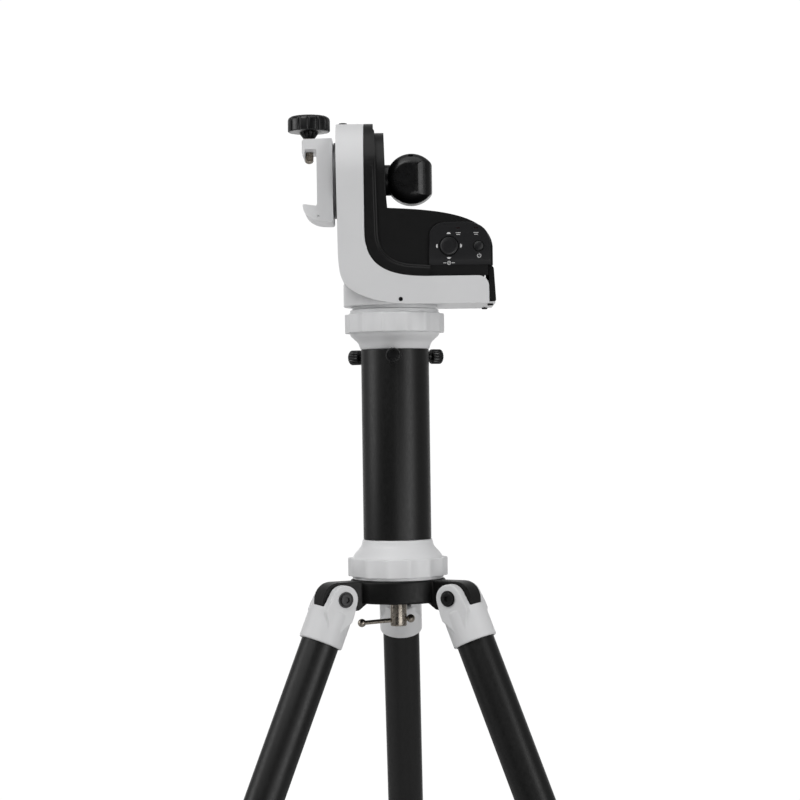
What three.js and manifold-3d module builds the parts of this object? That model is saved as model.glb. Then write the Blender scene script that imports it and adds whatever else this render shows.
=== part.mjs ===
// A motorised alt-azimuth telescope mount on a short pier and a three-legged tripod.
// Millimetres, +Z up. The model is built round the pier axis (x = y = 0) with the floor at z = 0,
// and the finished group is then shifted so that its origin is the middle of its footprint.

import * as THREE from 'three';
import { mergeVertices } from 'three/addons/utils/BufferGeometryUtils.js';
import Module from 'manifold-3d';

const wasm = await Module();
wasm.setup();

// ---------------------------------------------------------------- driving dimensions

const GAP = 0.3; // between touching pieces
const BIG = 30; // segments of large round pieces
const MID = 16;
const SMALL = 12;

// Tripod
const HINGE_Z = 590; // height of the leg hinges above the floor
const HINGE_R = 69.5; // leg hinges from the pier axis
const SPLAY = THREE.MathUtils.degToRad(23);
const LEG_AZIMUTHS = [88.5, 208.5, 328.5]; // degrees from +X
const LUG_HALF = 10.6;
const EAR_INNER = 11;
const EAR_OUTER = 21;
const EAR_R = 13.7;
const COLLAR_TOP = 13.3; // distances along the leg, from its hinge
const COLLAR_END = 46.5;
const COLLAR_R = 21.8;
const UPPER_TUBE_R = 18.8;
const UPPER_TUBE_BORE = 16.8;
const UPPER_TUBE_END = 560;
const CLAMP_START = 535;
const CLAMP_END = 585;
const CLAMP_R = 23;
const CLAMP_KNOB_AT = 573;
const LOWER_TUBE_R = 15.5;
const LOWER_TUBE_BORE = 13.5;
const LOWER_TUBE_START = 175;
const LOWER_TUBE_END = 612;
const FOOT_START = 605;
const FOOT_R = 19;
const LEG_TO_FLOOR = HINGE_Z / Math.cos(SPLAY);
const CROWN_R = 47.5;
const CROWN_BOTTOM = -6; // heights from here on are above the leg hinges
const CROWN_TOP = 16.4;
const PIVOT_R = 4;
const BOLT_HEAD_R = 7.5;

// Captive bolt and tommy bar
const BOLT_SHAFT_R = 8.25;
const BOLT_END = -31;
const THREAD_R = 4.8;
const BAR_Z = -24.8;
const BAR_R = 2.15;
const BAR_TILT = THREE.MathUtils.degToRad(4.7);
const BAR_LEFT = -36.9;
const BAR_RIGHT = 12.2;
const BAR_BALL_R = 4.2;

// Pier
const CAP_BOTTOM = 16.7;
const RING_R = 49.7;
const RING_LOW = [19.3, 37.8];
const TUBE_BOTTOM = 56.1;
const TUBE_TOP = 244.7;
const TUBE_R = 33.9;
const TUBE_BORE = 32;
const SPIGOT_R = 31.7;
const SPIGOT_LENGTH = 24;
const RING_HIGH = [261.1, 280.4];
const CAP_TOP = 284.4;
const CAP_POCKET_R = 27;
const HEAD_BOLT_SEAT = 262; // roof of the top cap's pocket
const HEAD_BOLT_R = 9;
const HEAD_BOLT_TOP = 298;
const FLUTES = 14;
const FLUTE_DEPTH = 2.6;
const SCREW_Z = 238;
const SCREW_AZIMUTHS = [268, 28, 148];
const SCREW_KNOB = [40.8, 52.2]; // from the pier axis
const SCREW_KNOB_R = 7.5;
const SCREW_SHANK_R = 2.6;

// Azimuth base and drive
const BASE_R = 42;
const BASE_FLANGE = [284.7, 289.7];
const BASE_HUB_R = 18;
const BASE_HUB_TOP = 297.7;
const BASE_SHAFT_R = 12;
const BASE_SHAFT_TOP = 318;
const WHEEL_TEETH = 40;
const WHEEL_R = 25;
const WHEEL_HALF = 2;
const TOOTH = 0.9; // half the tooth depth
const WORM_R = 6;
const WORM_HALF = 7;
const DRIVE_CLEARANCE = 0.6;
const WORM_OFFSET = WHEEL_R + WORM_R + DRIVE_CLEARANCE;
const WORM_SHAFT_R = 2;
const WORM_SHAFT_HALF = 13;
const MOTOR_R = 8;
const MOTOR_START = 14;
const MOTOR_LENGTH = 23;
const AZIMUTH_WHEEL_Z = 300;
const AZIMUTH_BEARING = [304, 311.5];
const AZIMUTH_BEARING_R = 20;

// Head
const HEAD_BOTTOM = 287.7;
const HEAD_TOP = 470.8;
const HEAD_HALF = 51;
const HEAD_LEFT = -55.8;
const HEAD_RIGHT = 92.9;
const ARM_SPLIT = -28.3; // plane between the outer shell and the inner cover
const STEP_X = -19; // full-depth tier of the inner cover
const INNER_X = -7.3; // narrow tier of the inner cover
const INNER_TOP = 461.6;
const INNER_HALF = 46;
const WALL = 3;
const ARCH_START = 415.3; // where the arm's sides start to close in, seen from the side
const LEFT_DRAFT = 1.6; // the arm's outer face leans in by this much at its foot
const TURRET_R = 50.6;
const TURRET_TOP = 311;
const TURRET_MOUTH = 43;
const DECK_RIGHT = 97.2;
const DOOR = { x: [93.4, 100.1], z: [289.7, 324], half: 40 };
const DOOR_HINGE = { x: 98.6, z: 291.2, r: 1.5 };
const LEDGE = { right: 99.1, top: 289.2, half: 44 };
const HEAD_FEET = [['front', 94.7, -34], ['back', 91.7, 34]];
const DOOR_OPENING = { z: [294, 318], half: 34 };
const PANEL_BACK = -46.3;
const PANEL_FRONT = -49.3;
const BUTTON_SEAT = -47.6;
const PAD = { x: 54.2, z: 343.7, r: 8.9 };
const BUTTON = { x: 83.3, z: 343.4, r: 4.9 };
const PLUG_X = -49;
const PLUG_R = 3.3;

// Altitude axis
const ALT_Z = 414.4;
const ALT_SHAFT_R = 8;
const ALT_BEARING_R = 15.5;
const ALT_INNER_BEARING_R = 14;
const ALT_WHEEL_X = -40;
const KNOB_X = 18.8;
const KNOB_R = 25.1;
const KNOB_RIM = 12.5; // half the thickness of the paddle's rim
const KNOB_FACE = 22; // half its thickness in the middle
const KNOB_NECK_R = 15.4;
const KNOB_END = 39.5;
const SHAFT_END = KNOB_X - 8; // inside the clutch knob
const DISC_R = 37.9;
const WEB_X = [-74.7, -58.9];
const SADDLE_HALF = 30;
const SADDLE_Z = [371.2, 453.6];
const SLOT_Z = [389.2, 442.9]; // flat face of the web, between jaw and block
const SADDLE_SCREW_X = -83;
const SADDLE_SCREW_R = 4.5;
const SADDLE_SCREW_TOP = 470;
const SADDLE_KNOB = { z: [463.6, 479.8], r: 21.1 };
const KNOB_FLUTES = 14;

// ---------------------------------------------------------------- materials

const paint = (color, roughness, metalness = 0) =>
  new THREE.MeshStandardMaterial({ color, roughness, metalness });

const WHITE = paint('#d2d3d5', 0.35);
const BLACK_METAL = paint('#161616', 0.45, 0.3);
const BLACK_PLASTIC = paint('#1b1b1c', 0.5);
const RUBBER = paint('#121212', 0.85);
const STEEL = paint('#8f8a82', 0.35, 1);
const BRASS = paint('#b08d4a', 0.35, 1);
const BOARD = paint('#1f5a35', 0.6);
const GREY = paint('#8b8d90', 0.4, 0.6);

// ---------------------------------------------------------------- geometry helpers

/** Merge a geometry's shared corners and turn its faces outwards. */
function welded(geometry) {
  geometry.deleteAttribute('normal');
  geometry.deleteAttribute('uv');
  const g = mergeVertices(geometry, 1e-4);
  const p = g.attributes.position;
  const index = g.index.array;
  const [a, b, c] = [new THREE.Vector3(), new THREE.Vector3(), new THREE.Vector3()];
  let volume = 0;
  for (let i = 0; i < index.length; i += 3) {
    a.fromBufferAttribute(p, index[i]);
    b.fromBufferAttribute(p, index[i + 1]);
    c.fromBufferAttribute(p, index[i + 2]);
    volume += a.dot(b.cross(c));
  }
  if (volume < 0) {
    for (let i = 0; i < index.length; i += 3) {
      [index[i], index[i + 1]] = [index[i + 1], index[i]];
    }
  }
  return g;
}

/** A solid that can be joined and cut. */
function solid(geometry) {
  const g = welded(geometry);
  const mesh = new wasm.Mesh({
    numProp: 3,
    vertProperties: new Float32Array(g.attributes.position.array),
    triVerts: new Uint32Array(g.index.array),
  });
  return new wasm.Manifold(mesh);
}

function geometryOf(manifold) {
  const mesh = manifold.getMesh();
  const g = new THREE.BufferGeometry();
  g.setAttribute('position', new THREE.BufferAttribute(mesh.vertProperties, 3));
  g.setIndex(new THREE.BufferAttribute(mesh.triVerts, 1));
  return g;
}

const union = (...parts) => parts.reduce((sum, part) => sum.add(part));
const cut = (body, ...tools) => tools.reduce((rest, tool) => rest.subtract(tool), body);

const shapeOf = (points) => new THREE.Shape(points.map(([x, y]) => new THREE.Vector2(x, y)));

/** Turned about Z from [radius, height] points; an open profile is closed on the axis. */
function turned(profile, segments = MID) {
  const points = profile.map(([r, z]) => new THREE.Vector2(r, z));
  return new THREE.LatheGeometry(points, segments).rotateX(Math.PI / 2);
}

const rod = (r, z0, z1, segments = SMALL) => turned([[0, z0], [r, z0], [r, z1], [0, z1]], segments);

const ring = (r0, r1, z0, z1, segments = MID) =>
  turned([[r0, z0], [r1, z0], [r1, z1], [r0, z1], [r0, z0]], segments);

/** The same pieces turned to lie along X or Y. */
const alongX = (geometry) => geometry.rotateY(Math.PI / 2);
const alongY = (geometry) => geometry.rotateX(-Math.PI / 2);

function box(x, y, z) {
  const g = new THREE.BoxGeometry(x[1] - x[0], y[1] - y[0], z[1] - z[0]);
  return g.translate((x[0] + x[1]) / 2, (y[0] + y[1]) / 2, (z[0] + z[1]) / 2);
}

/** An outline in the XZ plane, from y0 to y1. */
function frontPlate(points, y0, y1) {
  const g = new THREE.ExtrudeGeometry(shapeOf(points), { depth: y1 - y0, bevelEnabled: false });
  return g.rotateX(Math.PI / 2).translate(0, y1, 0);
}

/** An outline in the YZ plane, from x0 to x1. */
function sidePlate(points, x0, x1) {
  const g = new THREE.ExtrudeGeometry(shapeOf(points), { depth: x1 - x0, bevelEnabled: false });
  return g.rotateX(Math.PI / 2).rotateZ(Math.PI / 2).translate(x0, 0, 0);
}

/** An outline in the XY plane, from z0 to z1. */
function flatPlate(points, z0, z1) {
  const g = new THREE.ExtrudeGeometry(shapeOf(points), { depth: z1 - z0, bevelEnabled: false });
  return g.translate(0, 0, z0);
}

/** Points of an arc, angles in degrees. */
function arc(cx, cy, r, from, to, steps = 6) {
  const points = [];
  for (let i = 0; i <= steps; i += 1) {
    const t = THREE.MathUtils.degToRad(from + ((to - from) * i) / steps);
    points.push([cx + r * Math.cos(t), cy + r * Math.sin(t)]);
  }
  return points;
}

/** A round outline with concave flutes; a flute is centred at angle `phase`. */
function flutedOutline(r, count, depth, steps, phase = 0) {
  const points = [];
  const total = count * steps;
  for (let i = 0; i < total; i += 1) {
    const t = (2 * Math.PI * i) / total;
    const wave = Math.max(0, Math.cos(count * t));
    const radius = r - depth * wave;
    points.push([radius * Math.cos(t + phase), radius * Math.sin(t + phase)]);
  }
  return points;
}

const group = new THREE.Group();

function add(name, geometry, material, parent = group) {
  const source = geometry instanceof wasm.Manifold ? geometryOf(geometry) : welded(geometry);
  source.computeVertexNormals();
  const mesh = new THREE.Mesh(source, material);
  mesh.name = name;
  parent.add(mesh);
  return mesh;
}

// ---------------------------------------------------------------- tripod

/** One lug of the crown, in its leg's plane: u outwards from the hinge, w up. */
function lugOutline() {
  const collarPlane = COLLAR_TOP - GAP;
  const tip = 15.4;
  const along = (t) => [
    collarPlane * Math.sin(SPLAY) + t * Math.cos(SPLAY),
    -collarPlane * Math.cos(SPLAY) + t * Math.sin(SPLAY),
  ];
  const under = arc(0, 0, collarPlane, -90, -90 + THREE.MathUtils.radToDeg(SPLAY), 3);
  const nose = [[19.2, 1.5], [17, 8.2], [12.4, 13.4], [6, 16]];
  return [[-42, CROWN_BOTTOM], [-29, CROWN_BOTTOM], [-20, -12.5], ...under, along(tip), ...nose, [-42, 16]];
}

function crown() {
  const drum = turned([
    [0, CROWN_BOTTOM], [CROWN_R - 2.5, CROWN_BOTTOM], [CROWN_R, CROWN_BOTTOM + 2.5],
    [CROWN_R, CROWN_TOP - 1.5], [CROWN_R - 1.5, CROWN_TOP], [0, CROWN_TOP],
  ], BIG);
  const lugs = LEG_AZIMUTHS.map((azimuth) => {
    const bore = alongY(rod(PIVOT_R + GAP, -LUG_HALF - 1, LUG_HALF + 1));
    const lug = cut(solid(frontPlate(lugOutline(), -LUG_HALF, LUG_HALF)), solid(bore));
    return lug.translate([HINGE_R, 0, 0]).rotate([0, 0, azimuth]);
  });
  const post = rod(3, CROWN_BOTTOM - 3.5, CROWN_BOTTOM + 1);
  const posts = [-13, 13].map((x) => solid(post.clone().translate(x, 0, 0)));
  const throat = rod(THREAD_R + GAP, CROWN_BOTTOM - 1, CROWN_TOP + 1);
  return cut(union(solid(drum), ...lugs, ...posts), solid(throat));
}

/** The bolt that holds the pier down: a threaded stud above, a knurled shank below. */
function captiveBolt() {
  const body = turned([
    [0, BOLT_END], [BOLT_SHAFT_R - 1.5, BOLT_END], [BOLT_SHAFT_R, BOLT_END + 1.5],
    [BOLT_SHAFT_R, CROWN_BOTTOM - GAP], [THREAD_R, CROWN_BOTTOM - GAP],
    [THREAD_R, CAP_BOTTOM + 16], [0, CAP_BOTTOM + 16],
  ], MID);
  const hole = alongX(rod(BAR_R + 0.2, -12, 12, 12)).rotateY(-BAR_TILT);
  return cut(solid(body), solid(hole.translate(0, 0, BAR_Z)));
}

function tommyBar() {
  const ball = (x, direction) => {
    const steps = 5;
    const join = Math.asin(BAR_R / BAR_BALL_R);
    const points = [];
    for (let i = 0; i <= steps; i += 1) {
      const t = (i / steps) * (Math.PI - join);
      points.push([BAR_BALL_R * Math.sin(t), x - direction * BAR_BALL_R * Math.cos(t)]);
    }
    return points;
  };
  const profile = [...ball(BAR_LEFT, 1), ...ball(BAR_RIGHT, -1).reverse()];
  return alongX(turned(profile, SMALL));
}

/** Leg pieces are built with the leg along -Z and its hinge along Y. */
function legBracket() {
  const corner = 15.4;
  const ear = [
    [6, -34], [corner, -COLLAR_TOP - 3], [corner, -COLLAR_TOP],
    ...arc(0, 0, EAR_R, 0, 180, 8),
    [-corner, -COLLAR_TOP], [-corner, -COLLAR_TOP - 3], [-6, -34],
  ];
  const ears = union(
    solid(frontPlate(ear, EAR_INNER, EAR_OUTER)),
    solid(frontPlate(ear, -EAR_OUTER, -EAR_INNER)),
  );
  const collar = turned([
    [0, -COLLAR_END], [COLLAR_R - 1, -COLLAR_END], [COLLAR_R, -COLLAR_END + 1],
    [COLLAR_R, -COLLAR_TOP - 1.5], [COLLAR_R - 1.5, -COLLAR_TOP], [0, -COLLAR_TOP],
  ], MID);
  const socket = rod(UPPER_TUBE_R + GAP, -COLLAR_END - 1, -COLLAR_TOP - 4, MID);
  const vent = rod(6, -COLLAR_END, 0);
  const pivot = alongY(rod(PIVOT_R + GAP, -30, 30));
  return cut(union(ears, solid(collar)), solid(socket), solid(vent), solid(pivot));
}

function legPivotBolt() {
  const head = EAR_OUTER + GAP;
  const tip = head + 2.6;
  return alongY(turned([
    [0, -tip], [BOLT_HEAD_R - 1, -tip], [BOLT_HEAD_R, -tip + 1], [BOLT_HEAD_R, -head], [PIVOT_R, -head],
    [PIVOT_R, head], [BOLT_HEAD_R, head], [BOLT_HEAD_R, tip - 1], [BOLT_HEAD_R - 1, tip], [0, tip],
  ], SMALL));
}

const tube = (r0, r1, start, end) => ring(r0, r1, -end, -start, MID);

function legClampCollar() {
  const body = turned([
    [0, -CLAMP_END], [CLAMP_R - 1.5, -CLAMP_END], [CLAMP_R, -CLAMP_END + 1.5],
    [CLAMP_R, -CLAMP_START - 1.5], [CLAMP_R - 1.5, -CLAMP_START], [0, -CLAMP_START],
  ], MID);
  const boss = alongX(rod(8, 0, 30)).translate(0, 0, -CLAMP_KNOB_AT);
  const upper = rod(UPPER_TUBE_R + GAP, -UPPER_TUBE_END - GAP, -CLAMP_START + 1, MID);
  const lower = rod(LOWER_TUBE_R + GAP, -CLAMP_END - 1, -UPPER_TUBE_END, MID);
  const screw = alongX(rod(3 + GAP, 0, 31)).translate(0, 0, -CLAMP_KNOB_AT);
  return cut(union(solid(body), solid(boss)), solid(upper), solid(lower), solid(screw));
}

/** A lobed knob with its screw, along +X from the lower tube. */
function legClampKnob() {
  const start = LOWER_TUBE_R + GAP;
  const grip = solid(flatPlate(flutedOutline(14, 5, 2.5, 4), 30 + GAP, 44));
  const screw = solid(rod(3, start, 31));
  return union(grip, screw).rotate([0, 90, 0]).translate([0, 0, -CLAMP_KNOB_AT]);
}

function legFoot() {
  const top = -FOOT_START;
  const body = turned([
    [0, -LEG_TO_FLOOR - 12], [FOOT_R + 1, -LEG_TO_FLOOR - 12], [FOOT_R + 1, -LEG_TO_FLOOR + 8],
    [FOOT_R, top - 2], [FOOT_R - 1.5, top], [0, top],
  ], MID);
  const socket = rod(LOWER_TUBE_R + GAP, -LOWER_TUBE_END - GAP, top + 1, MID);
  const sole = box([-60, 60], [-60, 60], [-60, 0]).rotateY(SPLAY).translate(0, 0, -LEG_TO_FLOOR);
  return cut(solid(body), solid(socket), solid(sole));
}

function buildTripod() {
  const top = new THREE.Group();
  top.position.z = HINGE_Z;
  group.add(top);
  add('tripod_crown', crown(), BLACK_METAL, top);
  add('captive_bolt', captiveBolt(), STEEL, top);
  const bar = add('tommy_bar', tommyBar(), STEEL, top);
  bar.position.z = BAR_Z;
  bar.rotation.y = -BAR_TILT;
  LEG_AZIMUTHS.forEach((azimuth, i) => {
    const turn = new THREE.Group();
    turn.rotation.z = THREE.MathUtils.degToRad(azimuth);
    const hinge = new THREE.Group();
    hinge.position.x = HINGE_R;
    hinge.rotation.y = -SPLAY;
    top.add(turn);
    turn.add(hinge);
    const leg = `leg_${i + 1}`;
    add(`${leg}_pivot_bolt`, legPivotBolt(), BLACK_METAL, hinge);
    add(`${leg}_bracket`, legBracket(), WHITE, hinge);
    const upperTube = tube(UPPER_TUBE_BORE, UPPER_TUBE_R, COLLAR_TOP + 4.5, UPPER_TUBE_END);
    add(`${leg}_upper_tube`, upperTube, BLACK_METAL, hinge);
    add(`${leg}_clamp_collar`, legClampCollar(), BLACK_PLASTIC, hinge);
    add(`${leg}_clamp_knob`, legClampKnob(), BLACK_PLASTIC, hinge);
    const lowerTube = tube(LOWER_TUBE_BORE, LOWER_TUBE_R, LOWER_TUBE_START, LOWER_TUBE_END);
    add(`${leg}_lower_tube`, lowerTube, BLACK_METAL, hinge);
    add(`${leg}_foot`, legFoot(), RUBBER, hinge);
  });
  return top;
}

// ---------------------------------------------------------------- pier

const scallopedRing = ([z0, z1]) =>
  solid(flatPlate(flutedOutline(RING_R, FLUTES, FLUTE_DEPTH, 6, -Math.PI / 2), z0, z1));

function pierBottomCap() {
  const lower = turned([[0, CAP_BOTTOM], [45, CAP_BOTTOM], [45, RING_LOW[0]], [0, RING_LOW[0]]], BIG);
  const taper = turned([
    [0, RING_LOW[1]], [45, RING_LOW[1]], [41, RING_LOW[1] + 3.5], [37.5, RING_LOW[1] + 9],
    [35.5, TUBE_BOTTOM - 3], [TUBE_R, TUBE_BOTTOM - GAP], [SPIGOT_R, TUBE_BOTTOM - GAP],
    [SPIGOT_R, TUBE_BOTTOM + SPIGOT_LENGTH], [0, TUBE_BOTTOM + SPIGOT_LENGTH],
  ], BIG);
  const bore = rod(THREAD_R + GAP, CAP_BOTTOM - 1, TUBE_BOTTOM + SPIGOT_LENGTH + 1);
  const core = rod(CAP_POCKET_R, RING_LOW[1] + 6, TUBE_BOTTOM + SPIGOT_LENGTH + 1, MID);
  return cut(union(solid(lower), scallopedRing(RING_LOW), solid(taper)), solid(bore), solid(core));
}

function pierTopCap() {
  const body = turned([
    [0, TUBE_TOP - SPIGOT_LENGTH], [SPIGOT_R, TUBE_TOP - SPIGOT_LENGTH], [SPIGOT_R, TUBE_TOP + GAP],
    [34.2, TUBE_TOP + GAP], [36.5, 251.5], [39.5, 256.5], [44.3, RING_HIGH[0]], [0, RING_HIGH[0]],
  ], BIG);
  const plate = rod(44.2, RING_HIGH[1], CAP_TOP, BIG);
  const bore = rod(THREAD_R + GAP, TUBE_TOP, CAP_TOP + 1);
  const pocket = rod(CAP_POCKET_R, TUBE_TOP - SPIGOT_LENGTH - 1, HEAD_BOLT_SEAT, MID);
  return cut(union(solid(body), scallopedRing(RING_HIGH), solid(plate)), solid(bore), solid(pocket));
}

function pierTube() {
  const body = solid(ring(TUBE_BORE, TUBE_R, TUBE_BOTTOM, TUBE_TOP, BIG));
  const holes = SCREW_AZIMUTHS.map((azimuth) => {
    const hole = alongX(rod(SCREW_SHANK_R + GAP, 20, 50, 12)).rotateZ(THREE.MathUtils.degToRad(azimuth));
    return solid(hole.translate(0, 0, SCREW_Z));
  });
  return cut(body, ...holes);
}

/** A small knob with its clamping screw, along +X. */
function thumbscrew() {
  const grip = solid(flatPlate(flutedOutline(SCREW_KNOB_R, 10, 0.8, 3), ...SCREW_KNOB));
  const shank = solid(rod(SCREW_SHANK_R, SPIGOT_R + GAP, SCREW_KNOB[0] + 1, 12));
  return union(grip, shank).rotate([0, 90, 0]);
}

/** The bolt up through the top cap into the azimuth base. */
function headBolt() {
  const foot = HEAD_BOLT_SEAT - 9;
  const shoulder = HEAD_BOLT_SEAT - GAP;
  return turned([
    [0, foot], [HEAD_BOLT_R, foot], [HEAD_BOLT_R, shoulder],
    [THREAD_R, shoulder], [THREAD_R, HEAD_BOLT_TOP], [0, HEAD_BOLT_TOP],
  ], SMALL);
}

function buildPier(top) {
  add('pier_bottom_cap', pierBottomCap(), WHITE, top);
  add('pier_tube', pierTube(), BLACK_METAL, top);
  add('pier_top_cap', pierTopCap(), WHITE, top);
  add('pier_head_bolt', headBolt(), STEEL, top);
  SCREW_AZIMUTHS.forEach((azimuth, i) => {
    const screw = add(`thumbscrew_${i + 1}`, thumbscrew(), BLACK_PLASTIC, top);
    screw.position.z = SCREW_Z;
    screw.rotation.z = THREE.MathUtils.degToRad(azimuth);
  });
}

// ---------------------------------------------------------------- worm drives

/** A wheel about Z whose tooth valley faces +X. */
function wormWheel(bore) {
  const steps = 4;
  const outline = shapeOf(toothedOutline(WHEEL_R, WHEEL_TEETH, TOOTH, steps));
  const hole = arc(0, 0, bore, 360, 0, MID).slice(0, -1);
  outline.holes.push(new THREE.Path(hole.map(([x, y]) => new THREE.Vector2(x, y))));
  const g = new THREE.ExtrudeGeometry(outline, { depth: 2 * WHEEL_HALF, bevelEnabled: false });
  return g.translate(0, 0, -WHEEL_HALF);
}

function toothedOutline(r, count, height, steps) {
  const total = count * steps;
  return Array.from({ length: total }, (_, i) => {
    const t = (2 * Math.PI * i) / total;
    const radius = r - height * Math.cos(count * t);
    return [radius * Math.cos(t), radius * Math.sin(t)];
  });
}

/** A right-hand worm about Z with a thread crest at +X, z = 0. */
function worm() {
  const pitch = (2 * Math.PI * WHEEL_R) / WHEEL_TEETH;
  const around = 12;
  const rows = 22;
  const positions = [];
  const index = [];
  const ringAt = (radius, z) => {
    for (let j = 0; j < around; j += 1) {
      const phi = (2 * Math.PI * j) / around;
      const r = radius(phi);
      positions.push(r * Math.cos(phi), r * Math.sin(phi), z);
    }
  };
  ringAt(() => WORM_SHAFT_R, -WORM_SHAFT_HALF);
  ringAt(() => WORM_SHAFT_R, -WORM_HALF - 0.5);
  for (let i = 0; i < rows; i += 1) {
    const z = -WORM_HALF + (2 * WORM_HALF * i) / (rows - 1);
    ringAt((phi) => WORM_R + TOOTH * Math.cos((2 * Math.PI * z) / pitch - phi), z);
  }
  ringAt(() => WORM_SHAFT_R, WORM_HALF + 0.5);
  ringAt(() => WORM_SHAFT_R, WORM_SHAFT_HALF);
  const count = positions.length / 3 / around;
  for (let i = 0; i < count - 1; i += 1) {
    for (let j = 0; j < around; j += 1) {
      const a = i * around + j;
      const b = i * around + ((j + 1) % around);
      index.push(a, b, b + around, a, b + around, a + around);
    }
  }
  for (let j = 1; j < around - 1; j += 1) {
    const end = (count - 1) * around;
    index.push(0, j + 1, j, end, end + j, end + j + 1);
  }
  const g = new THREE.BufferGeometry();
  g.setAttribute('position', new THREE.Float32BufferAttribute(positions, 3));
  g.setIndex(index);
  return g;
}

/** A small gear motor whose shaft end faces -Z. */
const motor = () => turned([
  [0, 0], [5, 0], [5, 1.5], [MOTOR_R, 1.5], [MOTOR_R, MOTOR_LENGTH], [0, MOTOR_LENGTH],
], SMALL);

/** Wheel, worm and motor: the worm and motor lie along Y, beside or below the wheel. */
function addDrive(name, parent, bore, placeWheel, placeWorm) {
  const wheel = add(`${name}_worm_wheel`, wormWheel(bore), BRASS, parent);
  placeWheel(wheel);
  const screw = add(`${name}_worm`, worm(), STEEL, parent);
  placeWorm(screw);
  const drive = add(`${name}_motor`, motor(), GREY, parent);
  drive.position.copy(screw.position);
  drive.position.y = MOTOR_START;
  drive.rotation.x = -Math.PI / 2;
}

/** Turn a worm so that its axis (+Z) points along +Y and its +X side along `facing`. */
function aimWorm(mesh, facing) {
  const y = new THREE.Vector3(0, 1, 0);
  const side = new THREE.Vector3().crossVectors(y, facing);
  mesh.setRotationFromMatrix(new THREE.Matrix4().makeBasis(facing, side, y));
}

function buildDrives(top) {
  addDrive('azimuth', top, BASE_SHAFT_R + GAP, (wheel) => {
    wheel.position.z = AZIMUTH_WHEEL_Z;
  }, (screw) => {
    screw.position.set(WORM_OFFSET, 0, AZIMUTH_WHEEL_Z);
    aimWorm(screw, new THREE.Vector3(-1, 0, 0));
  });
  addDrive('altitude', top, ALT_SHAFT_R + GAP, (wheel) => {
    wheel.position.set(ALT_WHEEL_X, 0, ALT_Z);
    wheel.rotation.y = Math.PI / 2;
  }, (screw) => {
    screw.position.set(ALT_WHEEL_X, 0, ALT_Z - WORM_OFFSET);
    aimWorm(screw, new THREE.Vector3(0, 0, 1));
  });
}

// ---------------------------------------------------------------- head

/** Side view of the arm: upright sides and a rounded top. */
function archOutline(half, bottom, topZ) {
  const steps = 14;
  const rise = topZ - ARCH_START;
  const crest = Array.from({ length: steps + 1 }, (_, i) => {
    const t = (Math.PI * i) / steps;
    return [half * Math.cos(t), ARCH_START + rise * Math.sin(t)];
  });
  return [[-half, bottom], [half, bottom], ...crest];
}

/** The seam between the white outer shell and the black inner cover, from the top down and out. */
const SEAM_Z = 314.5;
const seamBend = (gap) => [
  [ARM_SPLIT + gap, 359.3], ...arc(12, 354.8, 40.3 - gap, 180, 270, 10).slice(1, -1), [14, SEAM_Z + gap],
];
const SEAM = [
  ...seamBend(0), [HEAD_RIGHT - 10.5, SEAM_Z], ...arc(HEAD_RIGHT - 10.5, 304, 10.5, 90, 0, 4).slice(1),
];

/** Front view of the white shell; `inset` moves its outside in. */
function shellOutline(inset) {
  const bottom = HEAD_BOTTOM + inset;
  const left = HEAD_LEFT + inset;
  return [
    [ARM_SPLIT, HEAD_TOP - inset], [left, HEAD_TOP - inset], [left + LEFT_DRAFT, 329],
    [left + 3.9, 315.6], [left + 8.1, 307], [left + 17.8, 299.5 + inset * 0.8], [left + 30, 294.3 + inset * 0.8],
    [left + 42.2, 290.8 + inset * 0.9], [left + 62, bottom], [HEAD_RIGHT - inset, bottom],
  ];
}

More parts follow.
